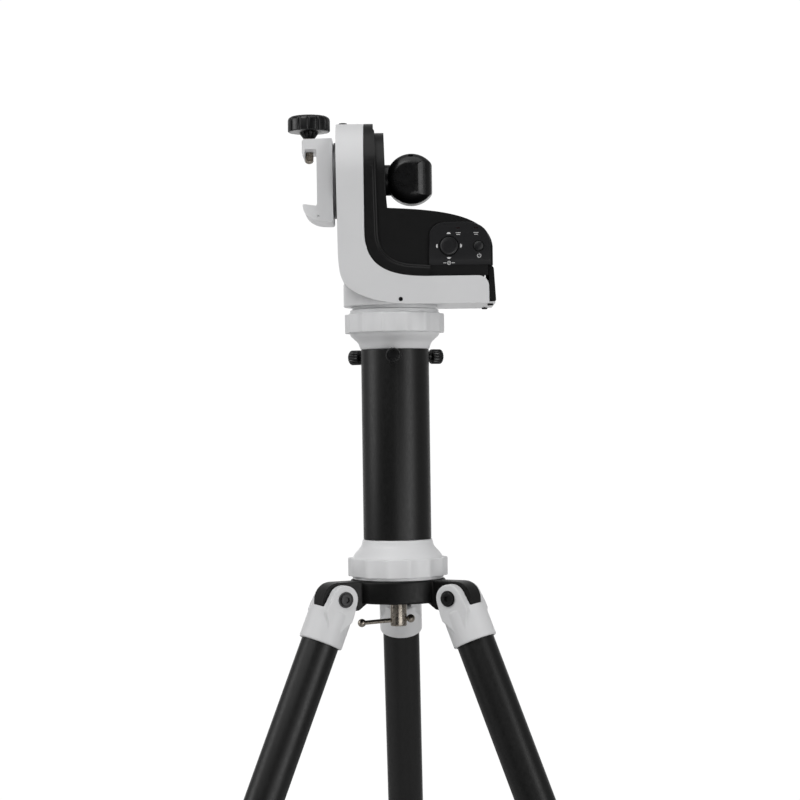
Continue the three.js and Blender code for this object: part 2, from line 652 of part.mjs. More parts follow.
function armOuterShell() {
  const arch = solid(sidePlate(archOutline(HEAD_HALF, 280, HEAD_TOP), -80, 120));
  const inner = HEAD_HALF - WALL;
  const innerArch = solid(sidePlate(archOutline(inner, 270, HEAD_TOP - WALL), -80, 120));
  const seam = [...SEAM].reverse();
  const outline = [...shellOutline(0), ...seam];
  const outside = solid(frontPlate(outline, -HEAD_HALF, HEAD_HALF)).intersect(arch);
  const turret = turned([
    [0, HEAD_BOTTOM], [TURRET_R - 1.2, HEAD_BOTTOM], [TURRET_R, HEAD_BOTTOM + 1.2],
    [TURRET_R, TURRET_TOP - 2], [TURRET_R - 2, TURRET_TOP], [0, TURRET_TOP],
  ], BIG);
  const hollowOutline = [
    ...shellOutline(WALL).slice(0, -1), [HEAD_RIGHT - WALL, HEAD_BOTTOM + WALL],
    [HEAD_RIGHT - WALL, 340], [ARM_SPLIT + 60, 340], [ARM_SPLIT + 20, 370], [ARM_SPLIT + 20, HEAD_TOP - WALL],
  ];
  const hollow = solid(frontPlate(hollowOutline, -inner, inner)).intersect(innerArch);
  const turretHollow = rod(TURRET_R - WALL, HEAD_BOTTOM + WALL, TURRET_TOP - WALL, BIG);
  const mouth = rod(TURRET_MOUTH, HEAD_BOTTOM - 1, HEAD_BOTTOM + WALL + 1, BIG);
  const ledge = box([HEAD_RIGHT - 2, LEDGE.right], [-LEDGE.half, LEDGE.half], [HEAD_BOTTOM, LEDGE.top]);
  const shell = cut(union(outside, solid(turret), solid(ledge)), hollow, solid(turretHollow), solid(mouth));
  const plate = box([-46.5, 62], [-HEAD_HALF + 1, HEAD_HALF - 1], [308.5, 311.5]);
  const plateSeat = rod(AZIMUTH_BEARING_R + GAP, 300, 320, MID);
  const boss = alongX(rod(21, HEAD_LEFT + 1, HEAD_LEFT + 8, MID)).translate(0, 0, ALT_Z);
  const axleSeat = alongX(rod(ALT_BEARING_R + GAP, HEAD_LEFT - 1, HEAD_LEFT + 9, MID)).translate(0, 0, ALT_Z);
  const doorway = box([HEAD_RIGHT - 5, HEAD_RIGHT + 2], [-DOOR_OPENING.half, DOOR_OPENING.half], DOOR_OPENING.z);
  const plugHole = rod(PLUG_R + GAP, HEAD_TOP - 8, HEAD_TOP + 2, 12).translate(PLUG_X, 0, 0);
  return cut(
    union(shell, cut(solid(plate), solid(plateSeat)), solid(boss)),
    solid(axleSeat), solid(doorway), solid(plugHole),
  );
}

/** Front view of the black cover's full-depth tier: a band that follows the seam. */
function bandOutline(gap) {
  const seam = [[ARM_SPLIT + gap, HEAD_TOP], ...seamBend(gap), [34, SEAM_Z + gap]];
  const ridge = [
    [34, 325.4], [17, 326.2], ...arc(16.6, 358.6, 32.4, 267, 180, 9),
    [-16.6, 400], [-17.3, 438], [STEP_X, 463], [STEP_X, HEAD_TOP],
  ];
  return [...seam, ...ridge];
}

/** Front view of the black cover's main tier: narrow arm and deck. */
function deckOutline(gap) {
  const top = [
    [DECK_RIGHT, 325], [DECK_RIGHT, 348.8], [95.9, 355.2], [90.9, 362.3], [85.1, 367.3], [79.3, 370.4],
    [70.2, 373.7], [55.9, 376.4], [32.4, 378.9], [9, 381], [INNER_X, 382.2],
  ];
  return [
    [ARM_SPLIT + gap, INNER_TOP], ...seamBend(gap),
    [HEAD_RIGHT - GAP, SEAM_Z + gap], [HEAD_RIGHT - GAP, 325], ...top, [INNER_X, INNER_TOP],
  ];
}

function armInnerCover() {
  const bandArch = solid(sidePlate(archOutline(HEAD_HALF, 280, HEAD_TOP), -80, 120));
  const band = solid(frontPlate(bandOutline(GAP), -HEAD_HALF, HEAD_HALF)).intersect(bandArch);
  const deckArch = solid(sidePlate(archOutline(INNER_HALF, 280, INNER_TOP), -80, 120));
  const deck = solid(frontPlate(deckOutline(GAP), -INNER_HALF, INNER_HALF)).intersect(deckArch);
  const innerHalf = INNER_HALF - WALL;
  const coreArch = solid(sidePlate(archOutline(innerHalf, 270, INNER_TOP - WALL), -80, 120));
  const coreOutline = [
    [ARM_SPLIT - 5, INNER_TOP - WALL], [ARM_SPLIT - 5, 300], [DECK_RIGHT - WALL, 300],
    [DECK_RIGHT - WALL, 349], [88.1, 359.8], [76.3, 367.8], [55.9, 373.4], [INNER_X - WALL, 379.2],
    [INNER_X - WALL, INNER_TOP - WALL],
  ];
  const core = solid(frontPlate(coreOutline, -innerHalf, innerHalf)).intersect(coreArch);
  const boss = alongX(rod(18, INNER_X - 10, INNER_X - 1, MID)).translate(0, 0, ALT_Z);
  const seat = alongX(rod(ALT_INNER_BEARING_R + GAP, INNER_X - 12, INNER_X - WALL, MID)).translate(0, 0, ALT_Z);
  const axle = alongX(rod(ALT_SHAFT_R + 0.6, INNER_X - 12, INNER_X + 2, MID)).translate(0, 0, ALT_Z);
  const doorway = box([HEAD_RIGHT - 6, DECK_RIGHT + 2], [-DOOR.half - 0.6, DOOR.half + 0.6], [300, DOOR.z[1] + 0.8]);
  const padHole = alongY(rod(4.5, -1, 12)).translate(PAD.x, -INNER_HALF - 2, PAD.z);
  const shell = cut(union(band, deck), core);
  return cut(union(shell, solid(boss)), solid(seat), solid(axle), solid(doorway), solid(padHole));
}

/** The raised panel on the deck's front face. */
function controlPanel() {
  const outline = [
    [34.1, 325.6], [34.9, 351.4], ...arc(48.5, 353.7, 13.5, 175, 92, 5),
    [71.7, 367.8], [81.6, 363.9], [88.6, 358.5], [93.6, 352.1], [94.9, 347.4], [94.9, 325.6],
  ];
  const pad = alongY(rod(PAD.r + 0.7, -10, 10, MID)).translate(PAD.x, PANEL_BACK, PAD.z);
  const button = alongY(rod(BUTTON.r + 0.35, -10, 10, SMALL)).translate(BUTTON.x, PANEL_BACK, BUTTON.z);
  return cut(solid(frontPlate(outline, PANEL_FRONT, PANEL_BACK)), solid(pad), solid(button));
}

const directionPad = () =>
  alongY(turned([[0, 0], [PAD.r, 0], [PAD.r, 2], [PAD.r - 1, 2.8], [0, 2.8]], MID)).rotateZ(Math.PI);

const powerButton = () =>
  alongY(turned([[0, 0], [BUTTON.r, 0], [BUTTON.r, 2.4], [BUTTON.r - 1, 3.2], [0, 3.8]], SMALL)).rotateZ(Math.PI);

const padGimbal = () => alongY(rod(2.5, 0, 5.3, 12));

/** The battery door: a tapering plate with a round hinge edge at its foot. */
function batteryDoor() {
  const [x0, x1] = DOOR.x;
  const [z0, z1] = DOOR.z;
  const { x, z, r } = DOOR_HINGE;
  const outline = [
    [x0, z0 + 2.3], [x0 + 1.3, z0 + 0.2], ...arc(x, z, r, 250, 360, 4),
    [x1 - 1.8, z1 - 1.8], [x1 - 3, z1], [x0, z1],
  ];
  return frontPlate(outline, -DOOR.half, DOOR.half);
}

/** A tray for the cells, open towards the door. */
function batteryHolder() {
  const tray = box([64, 89], [-29, 29], [294.5, 317]);
  const bay = box([66, 90], [-27, 27], [296.5, 315]);
  return cut(solid(tray), solid(bay));
}

function buildHead(top) {
  const base = solid(turned([
    [0, BASE_FLANGE[0]], [BASE_R, BASE_FLANGE[0]], [BASE_R, BASE_FLANGE[1]], [BASE_HUB_R, BASE_FLANGE[1]],
    [BASE_HUB_R, BASE_HUB_TOP], [BASE_SHAFT_R, BASE_HUB_TOP], [BASE_SHAFT_R, BASE_SHAFT_TOP], [0, BASE_SHAFT_TOP],
  ], BIG));
  add('azimuth_base', cut(base, solid(rod(THREAD_R + GAP, 280, HEAD_BOLT_TOP + 1))), WHITE, top);
  add('azimuth_bearing', ring(BASE_SHAFT_R + GAP, AZIMUTH_BEARING_R, ...AZIMUTH_BEARING), STEEL, top);
  add('arm_outer_shell', armOuterShell(), WHITE, top);
  add('arm_inner_cover', armInnerCover(), BLACK_PLASTIC, top);
  add('control_panel', controlPanel(), BLACK_PLASTIC, top);
  const pad = add('direction_pad', directionPad(), RUBBER, top);
  pad.position.set(PAD.x, BUTTON_SEAT, PAD.z);
  const gimbal = add('pad_gimbal', padGimbal(), STEEL, top);
  gimbal.position.set(PAD.x, BUTTON_SEAT + GAP, PAD.z);
  const button = add('power_button', powerButton(), RUBBER, top);
  button.position.set(BUTTON.x, BUTTON_SEAT, BUTTON.z);
  add('battery_door', batteryDoor(), BLACK_PLASTIC, top);
  add('battery_holder', batteryHolder(), BLACK_PLASTIC, top);
  add('control_board', box([36, 90], [-41.5, -39.9], [322, 352]), BOARD, top);
  const plug = turned([[0, -5], [PLUG_R, -5], [PLUG_R, GAP], [4.2, GAP], [4.2, 0.9], [3.6, 1.3], [0, 1.3]], 12);
  add('top_plug', plug.translate(PLUG_X, 0, HEAD_TOP), RUBBER, top);
  HEAD_FEET.forEach(([side, x, y]) => {
    const foot = turned([[0, -1.8], [2.4, -1.8], [3, -1.2], [3, -GAP], [0, -GAP]], 12);
    add(`head_foot_${side}`, foot.translate(x, y, HEAD_BOTTOM), RUBBER, top);
  });
}

// ---------------------------------------------------------------- altitude axis

function altitudeShaft() {
  return alongX(turned([
    [0, WEB_X[0] + 4], [ALT_SHAFT_R, WEB_X[0] + 4], [ALT_SHAFT_R, SHAFT_END], [0, SHAFT_END],
  ], MID)).translate(0, 0, ALT_Z);
}

/** The clutch knob: a round paddle on a neck, its two faces domed and tapering towards its outer end. */
function clutchKnob() {
  const neck = solid(alongX(rod(KNOB_NECK_R, INNER_X + GAP, KNOB_X, MID)));
  const rim = turned([
    [0, -KNOB_FACE], [KNOB_R - 9, -KNOB_FACE], [KNOB_R - 3.5, 3 - KNOB_FACE], [KNOB_R, -KNOB_RIM],
    [KNOB_R, KNOB_RIM], [KNOB_R - 3.5, KNOB_FACE - 3], [KNOB_R - 9, KNOB_FACE], [0, KNOB_FACE],
  ], BIG);
  const disc = solid(alongY(rim).translate(KNOB_X, 0, 0));
  const half = [
    [KNOB_X - 30, 17], [KNOB_X - 19, 20.5], [KNOB_X + 3, 22], [KNOB_X + 6, 21.2], [KNOB_X + 10, 18.2],
    [KNOB_X + 16, 12.2], [KNOB_END, 8],
  ];
  const wedge = solid(flatPlate([...half.map(([x, y]) => [x, -y]), ...[...half].reverse()], -40, 40));
  const bore = solid(alongX(rod(ALT_SHAFT_R + GAP, INNER_X - 1, SHAFT_END + GAP, MID)));
  return cut(union(disc.intersect(wedge), neck), bore).translate([0, 0, ALT_Z]);
}

/** Side-on profile of the dovetail saddle: web, upper block and hooked lower jaw. */
function saddleBody() {
  const [x0, x1] = WEB_X;
  const [z0, z1] = SADDLE_Z;
  const [slotFoot, slotTop] = SLOT_Z;
  const outline = [
    [x1, z0], [x1, z1 - 1.5], [x1 - 1.5, z1], [-87.4, z1 - 0.9], [-89, z1 - 2.5], [-89, 438], [-88.2, 436.7],
    [-86.8, 436.7], [-86.3, slotTop], [x0 - 1, slotTop], [x0, slotTop - 1], [x0, slotFoot], [x0 - 0.9, 386.9],
    [-88.2, 388.7], [-89, 387.4], ...arc(-72, 388.2, 17, 188, 258, 6),
  ];
  const body = solid(frontPlate(outline, -SADDLE_HALF, SADDLE_HALF));
  const axle = alongX(rod(ALT_SHAFT_R + GAP, x0 + 4 - GAP, x1 + 1, MID)).translate(0, 0, ALT_Z);
  const screw = rod(SADDLE_SCREW_R + GAP, 430, 460).translate(SADDLE_SCREW_X, 0, 0);
  return cut(body, solid(axle), solid(screw));
}

/** The clamping screw, pointing down at the dovetail. */
function saddleScrew() {
  return turned([
    [0, 431.8], [2.6, 432.2], [SADDLE_SCREW_R, 434], [SADDLE_SCREW_R, SADDLE_SCREW_TOP], [0, SADDLE_SCREW_TOP],
  ], SMALL).translate(SADDLE_SCREW_X, 0, 0);
}

function saddleKnob() {
  const [z0, z1] = SADDLE_KNOB.z;
  const grip = solid(flatPlate(flutedOutline(SADDLE_KNOB.r, KNOB_FLUTES, 1, 4, -Math.PI / 2), z0, z1 - 2.5));
  const crownRing = solid(turned([
    [0, z1 - 3], [SADDLE_KNOB.r - 2, z1 - 3], [SADDLE_KNOB.r - 3.4, z1 - 1], [SADDLE_KNOB.r - 6, z1], [0, z1],
  ], MID));
  const hub = solid(rod(9.5, SADDLE_Z[1] + GAP, z0 + 1, MID));
  const bore = solid(rod(SADDLE_SCREW_R + GAP, SADDLE_Z[1] - 1, SADDLE_SCREW_TOP + GAP));
  return cut(union(grip, crownRing, hub), bore).translate([SADDLE_SCREW_X, 0, 0]);
}

function buildAltitude(top) {
  add('altitude_shaft', altitudeShaft(), STEEL, top);
  add('altitude_hub_disc', alongX(ring(ALT_SHAFT_R + GAP, DISC_R, HEAD_LEFT - 2.4, HEAD_LEFT - GAP, BIG))
    .translate(0, 0, ALT_Z), GREY, top);
  const bearing = (r, x0, x1) => alongX(ring(ALT_SHAFT_R + GAP, r, x0, x1)).translate(0, 0, ALT_Z);
  add('altitude_bearing_outer', bearing(ALT_BEARING_R, HEAD_LEFT + 0.2, HEAD_LEFT + 7), STEEL, top);
  add('altitude_bearing_inner', bearing(ALT_INNER_BEARING_R, INNER_X - 9.5, INNER_X - WALL - GAP), STEEL, top);
  add('clutch_knob', clutchKnob(), BLACK_PLASTIC, top);
  add('saddle_body', saddleBody(), WHITE, top);
  add('saddle_screw', saddleScrew(), STEEL, top);
  add('saddle_knob', saddleKnob(), BLACK_PLASTIC, top);
}

// ---------------------------------------------------------------- assembly

const top = buildTripod();
buildPier(top);
buildHead(top);
buildDrives(top);
buildAltitude(top);

group.updateMatrixWorld(true);
const footprint = new THREE.Box3().setFromObject(group, true);
group.position.set(
  -(footprint.min.x + footprint.max.x) / 2,
  -(footprint.min.y + footprint.max.y) / 2,
  -footprint.min.z,
);

export default group;
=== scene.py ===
"""Looks of a motorised alt-azimuth telescope mount on a pier and tripod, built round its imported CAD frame.

Every size is in millimetres. Pieces are made round the pier axis with z = 0 at the leg hinges, and
moved into the frame's own coordinates by DATUM.
"""

import math

import bmesh
import bpy
from mathutils import Matrix, Vector


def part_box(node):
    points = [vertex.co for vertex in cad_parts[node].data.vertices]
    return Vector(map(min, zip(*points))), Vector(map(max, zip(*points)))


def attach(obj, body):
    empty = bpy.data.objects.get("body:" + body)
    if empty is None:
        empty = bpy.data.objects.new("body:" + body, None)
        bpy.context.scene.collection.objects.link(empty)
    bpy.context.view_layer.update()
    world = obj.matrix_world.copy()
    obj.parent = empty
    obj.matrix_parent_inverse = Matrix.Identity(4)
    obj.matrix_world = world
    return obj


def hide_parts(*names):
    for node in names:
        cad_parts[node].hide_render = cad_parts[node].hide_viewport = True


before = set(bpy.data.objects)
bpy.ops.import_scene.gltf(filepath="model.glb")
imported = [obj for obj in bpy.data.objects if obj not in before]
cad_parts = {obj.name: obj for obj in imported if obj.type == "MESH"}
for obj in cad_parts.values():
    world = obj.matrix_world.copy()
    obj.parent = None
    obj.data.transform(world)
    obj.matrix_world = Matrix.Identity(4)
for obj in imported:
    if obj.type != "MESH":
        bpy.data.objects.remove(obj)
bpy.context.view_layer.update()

# ---------------------------------------------------------------- sizes, in millimetres

MM = 0.001
GAP = 0.3  # between touching pieces
FINE = 128  # segments of large round pieces
ROUND = 72
SMALL = 40
EDGE_ANGLE = math.radians(32)  # sharper edges are rounded
SHARP_ANGLE = math.radians(35)  # sharper edges stay crisp in the shading

# Tripod; distances along a leg start at its hinge
HINGE_R = 69.5
SPLAY = math.radians(23)
LEG_AZIMUTHS = (88.5, 208.5, 328.5)
LEG_REACH = 590 / math.cos(SPLAY)  # from the hinge to the floor
LUG_HALF = 10.6
CROWN_R = 47.5
CROWN_BOTTOM = -6
CROWN_TOP = 16.4
EAR_INNER = 11
EAR_OUTER = 21
COLLAR_R = 21.8
COLLAR_TOP = 13.3
COLLAR_END = 46.5
UPPER_TUBE = (16.8, 18.8, 17.8, 560)  # bore, radius, start and end
LOWER_TUBE = (13.5, 15.5, 175, 612)
UPPER_SOCKET_R = 19.1
LOWER_SOCKET_R = 15.8
CLAMP_R = 23
CLAMP_START = 535
CLAMP_END = 585
CLAMP_KNOB_AT = 573
FOOT_START = 605

# Captive bolt and tommy bar
THREAD_R = 4.8
THREAD_BORE = 5.1
BOLT_SHAFT_R = 8.25
BAR_Z = -24.8
BAR_R = 2.15
BAR_TILT = math.radians(4.7)

# Pier
CAP_BOTTOM = 16.7
CAP_TOP = 284.4
LOW_RING = (19.3, 37.8)
HIGH_RING = (261.1, 280.4)
RING_R = 49.7
FLUTES = 14
FLUTE_DEPTH = 2.7
FLUTE_SHARE = 0.86  # of each pitch; the rest is a land
CAP_SEGMENTS = 224
SPIGOT_R = 31.7
POCKET_R = 27
TUBE_FOOT = 56.1  # the pier tube's lower end above the leg hinges
TUBE_TOP = 244.7
TUBE_R = 33.9
TUBE_BORE = 32
SCREW_AZIMUTHS = (268, 28, 148)
SCREW_Z = 238

# Head
HEAD_BOTTOM = 287.7
HEAD_TOP = 470.8
HEAD_HALF = 51
HEAD_LEFT = -55.8
HEAD_RIGHT = 92.9
SPLIT_X = -28.3
STEP_X = -19.0
INNER_X = -7.3
INNER_TOP = 461.6
INNER_HALF = 46
ARCH_START = 415.3  # where the arm's sides start to close in, seen from the side
DECK_RIGHT = 97.2
DECK_FOOT = 325  # lower end of the deck's right face
DOOR_HALF = 40
DOOR_TOP = 324
HINGE = (98.6, 291.2, 1.5)  # the battery door's hinge: x, z and radius
LEDGE_RIGHT = 99.1
WALL = 3
TURRET_R = 50.6
TURRET_TOP = 311
TURRET_MOUTH = 43
PLUG_X = -49
SET_SCREW = (6.5, 292.4)  # x and z on the shell's front face
HEAD_FEET = (("front", 94.7, -34), ("back", 91.7, 34))

PANEL_FRONT = -49.3
PANEL_BACK = -46.3
PAD_SEAT = 47.6
PAD = (54.2, 343.7)
PAD_R = 8.9
BUTTON = (83.3, 343.4)
BUTTON_R = 4.9
LAMPS_X = (63.4, 80.9)

# Altitude axis
ALT_Z = 414.4
SHAFT_BORE = 8.3
KNOB_X = 18.8
KNOB_R = 25.1
KNOB_SCREW_LEAN = math.radians(36)
SADDLE_SCREW_X = -83
SADDLE_SCREW_BORE = 4.8
SADDLE_HALF = 30
SADDLE_TOP = 453.6
SADDLE_KNOB_R = 21.1

CAMERA_DISTANCE = 2000
CAMERA_SIDE = 4.4
CAMERA_HEIGHT = 174.4  # above the leg hinges
CAMERA_LENS = 90
CAMERA_TILT = math.radians(0.573)
CAMERA_ROLL = math.radians(0.805)

low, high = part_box("pier_tube")
DATUM = Vector(((low.x + high.x) / 2, (low.y + high.y) / 2, low.z - TUBE_FOOT * MM))
TO_FRAME = Matrix.Translation(DATUM) @ Matrix.Scale(MM, 4)


# ---------------------------------------------------------------- camera

def aim_camera():
    """A level view along +Y from two metres away, leaning a little as a hand-levelled camera does."""
    data = bpy.data.cameras.new("camera")
    data.lens = CAMERA_LENS
    data.sensor_width = 36
    data.clip_end = 50
    camera = bpy.data.objects.new("camera", data)
    bpy.context.scene.collection.objects.link(camera)
    place = Vector((CAMERA_SIDE, -CAMERA_DISTANCE, CAMERA_HEIGHT)) * MM + DATUM
    turn = Matrix.Rotation(math.radians(90) + CAMERA_TILT, 4, "X") @ Matrix.Rotation(-CAMERA_ROLL, 4, "Z")
    camera.matrix_world = Matrix.Translation(place) @ turn
    bpy.context.scene.camera = camera


aim_camera()


# ---------------------------------------------------------------- outlines

def arc(cx, cy, r, start, end, steps=12):
    """Points of an arc, angles in degrees."""
    angles = [math.radians(start + (end - start) * i / steps) for i in range(steps + 1)]
    return [(cx + r * math.cos(a), cy + r * math.sin(a)) for a in angles]


def bezier(p0, p1, p2, p3, steps=24):
    points = []
    for i in range(steps + 1):
        t = i / steps
        a, b, c, d = (1 - t) ** 3, 3 * t * (1 - t) ** 2, 3 * t * t * (1 - t), t ** 3
        points.append(tuple(a * p0[k] + b * p1[k] + c * p2[k] + d * p3[k] for k in (0, 1)))
    return points


def rounded(points, radius, steps=5, closed=True):
    """The outline with its corners turned into arcs; a point may carry its own radius."""
    count = len(points)
    out = []
    for i, point in enumerate(points):
        r = point[2] if len(point) > 2 else radius
        here = Vector(point[:2])
        if r <= 0 or (not closed and i in (0, count - 1)):
            out.append(tuple(here))
            continue
        before = Vector(points[i - 1][:2]) - here
        after = Vector(points[(i + 1) % count][:2]) - here
        reach = min(r, before.length * 0.49, after.length * 0.49)
        start = here + before.normalized() * reach
        end = here + after.normalized() * reach
        for k in range(steps + 1):
            t = k / steps
            out.append(tuple(start * (1 - t) ** 2 + here * 2 * t * (1 - t) + end * t * t))
    return out


def arch(half, bottom, top):
    """The arm's side view: upright sides and an elliptical top."""
    crest = [(half * x, ARCH_START + (top - ARCH_START) * z) for x, z in arc(0, 0, 1, 0, 180, 48)]
    return [(-half, bottom), (half, bottom), *crest]


# ---------------------------------------------------------------- meshes

def new_object(name, verts, faces):
    mesh = bpy.data.meshes.new(name)
    mesh.from_pydata([tuple(v) for v in verts], [], faces)
    work = bmesh.new()
    work.from_mesh(mesh)
    bmesh.ops.remove_doubles(work, verts=work.verts, dist=1e-5)
    bmesh.ops.recalc_face_normals(work, faces=work.faces)
    work.to_mesh(mesh)
    work.free()
    obj = bpy.data.objects.new(name, mesh)
    bpy.context.scene.collection.objects.link(obj)
    return obj


def prism(name, outline, start, end, axis="y"):
    """An outline pushed along an axis: x takes (y, z) points, y takes (x, z) and z takes (x, y)."""
    order = {
        "x": lambda p, d: (d, p[0], p[1]),
        "y": lambda p, d: (p[0], d, p[1]),
        "z": lambda p, d: (p[0], p[1], d),
    }[axis]
    n = len(outline)
    verts = [order(p, d) for d in (start, end) for p in outline]
    faces = [tuple(range(n)), tuple(range(2 * n - 1, n - 1, -1))]
    faces += [(i, (i + 1) % n, n + (i + 1) % n, n + i) for i in range(n)]
    return new_object(name, verts, faces)


def loft(name, sections):
    """Matching outlines of (x, z) points, each at its own y, joined front to back."""
    n = len(sections[0][0])
    verts = [(x, y, z) for outline, y in sections for x, z in outline]
    last = (len(sections) - 1) * n
    faces = [tuple(range(n)), tuple(range(last + n - 1, last - 1, -1))]
    for k in range(len(sections) - 1):
        for i in range(n):
            j = (i + 1) % n
            faces.append((k * n + i, k * n + j, (k + 1) * n + j, (k + 1) * n + i))
    return new_object(name, verts, faces)


def block(name, x, y, z):
    return prism(name, [(x[0], z[0]), (x[1], z[0]), (x[1], z[1]), (x[0], z[1])], y[0], y[1])


def revolve(name, profile, segments=ROUND, ripple=None):
    """Turned about Z from (radius, z) or (radius, z, share) points; share scales a ring's ripple."""
    verts = []
    rings = []
    for point in profile:
        r, z = point[:2]
        share = point[2] if len(point) > 2 else 0
        if r < 1e-6:
            rings.append([len(verts)] * segments)
            verts.append((0, 0, z))
            continue
        rings.append(list(range(len(verts), len(verts) + segments)))
        for k in range(segments):
            a = 2 * math.pi * k / segments
            radius = r - share * ripple(a) if share else r
            verts.append((radius * math.cos(a), radius * math.sin(a), z))
    faces = []
    for lower, upper in zip(rings, rings[1:]):
        for k in range(segments):
            n = (k + 1) % segments
            corners = list(dict.fromkeys((lower[k], lower[n], upper[n], upper[k])))
            if len(corners) > 2:
                faces.append(tuple(corners))
    return new_object(name, verts, faces)


def turned(name, points, radius=0.6, segments=ROUND, closed=False):
    """A turned piece whose profile corners are rounded; closed is for tubes and rings."""
    profile = rounded(points, radius, 4, closed)
    if closed:
        profile.append(profile[0])
    return revolve(name, profile, segments)


def rod(name, r, z0, z1, radius=0, segments=SMALL):
    return turned(name, [(0, z0), (r, z0), (r, z1), (0, z1)], radius, segments)


def hexagon(r):
    return arc(0, 0, r, 0, 300, 5)


def scallops(count, depth, share=FLUTE_SHARE, phase=0.0):
    """Concave flutes round a rim, one of them centred at `phase`."""
    pitch = 2 * math.pi / count

    def ripple(a):
        u = ((a - phase + pitch / 2) % pitch - pitch / 2) / (pitch / 2)
        return depth * max(0.0, 1 - (u / share) ** 2)

    return ripple


def moved(obj, matrix):
    obj.data.transform(matrix)
    return obj


def shift(obj, x=0, y=0, z=0):
    return moved(obj, Matrix.Translation((x, y, z)))


def spin(obj, angle, axis):
    return moved(obj, Matrix.Rotation(angle, 4, axis))


def along_x(obj):
    return spin(obj, math.radians(90), "Y")


def along_y(obj):
    return spin(obj, math.radians(-90), "X")


def on_altitude(obj):
    """A piece turned about Z, moved on to the altitude axis."""
    return shift(along_x(obj), z=ALT_Z)


def combine(body, *tools, operation="DIFFERENCE"):
    """Cut, join or intersect `body` with each tool; the tools are used up."""
    for tool in tools:
        modifier = body.modifiers.new("combine", "BOOLEAN")
        modifier.operation = operation
        modifier.solver = "EXACT"
        modifier.object = tool
        depsgraph = bpy.context.evaluated_depsgraph_get()
        mesh = bpy.data.meshes.new_from_object(body.evaluated_get(depsgraph))
        body.modifiers.clear()
        body.data = mesh
        bpy.data.objects.remove(tool)
    return body


def join(body, *tools):
    return combine(body, *tools, operation="UNION")


def common(body, *tools):
    return combine(body, *tools, operation="INTERSECT")


def clean(obj):
    """Merge stray corners and dissolve the flat seams that a cut leaves."""
    work = bmesh.new()
    work.from_mesh(obj.data)
    bmesh.ops.remove_doubles(work, verts=work.verts, dist=0.003)
    bmesh.ops.dissolve_degenerate(work, dist=0.003, edges=work.edges)
    work.to_mesh(obj.data)
    work.free()
    return obj


def soften(obj, width, segments=3):
    """Round the sharp edges."""
    bevel = obj.modifiers.new("edges", "BEVEL")
    bevel.width = width * MM
    bevel.segments = segments
    bevel.limit_method = "ANGLE"
    bevel.angle_limit = EDGE_ANGLE
    bevel.use_clamp_overlap = True
    bevel.harden_normals = False
    obj.modifiers.new("shade", "WEIGHTED_NORMAL").keep_sharp = True
    return obj


def flatten(obj):
    """Shade flat faces flat and round ones round, whatever their size."""
    obj.data.set_sharp_from_angle(angle=SHARP_ANGLE)
    obj.modifiers.new("shade", "WEIGHTED_NORMAL").keep_sharp = True
    return obj


def baked(obj):
    """The object with its modifiers made real."""
    depsgraph = bpy.context.evaluated_depsgraph_get()
    mesh = bpy.data.meshes.new_from_object(obj.evaluated_get(depsgraph))
    obj.modifiers.clear()
    obj.data = mesh
    return obj


def cast(obj, voxel, passes):
    """Blend a casting's joins into fillets: remesh it evenly, then relax it."""
    remesh = obj.modifiers.new("cast", "REMESH")
    remesh.mode = "VOXEL"
    remesh.voxel_size = voxel
    smooth = obj.modifiers.new("relax", "SMOOTH")
    smooth.factor = 0.5
    smooth.iterations = passes
    return baked(obj)


def finish_piece(obj, body, material, slot, *nodes, matrix=None, smooth=True):
    """Put a piece in the frame, ride it on its body and let it stand for its CAD nodes."""
    if matrix is not None:
        moved(obj, matrix)
    moved(obj, TO_FRAME)
    for polygon in obj.data.polygons:
        polygon.use_smooth = smooth
    if smooth and not obj.modifiers:
        obj.data.set_sharp_from_angle(angle=SHARP_ANGLE)
    obj.data.materials.clear()
    obj.data.materials.append(material)
    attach(obj, body)
    if nodes:
        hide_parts(*nodes)
    return obj


# ---------------------------------------------------------------- materials

NOISE_LOW = 0.3  # most of a noise's values lie between these
NOISE_HIGH = 0.7


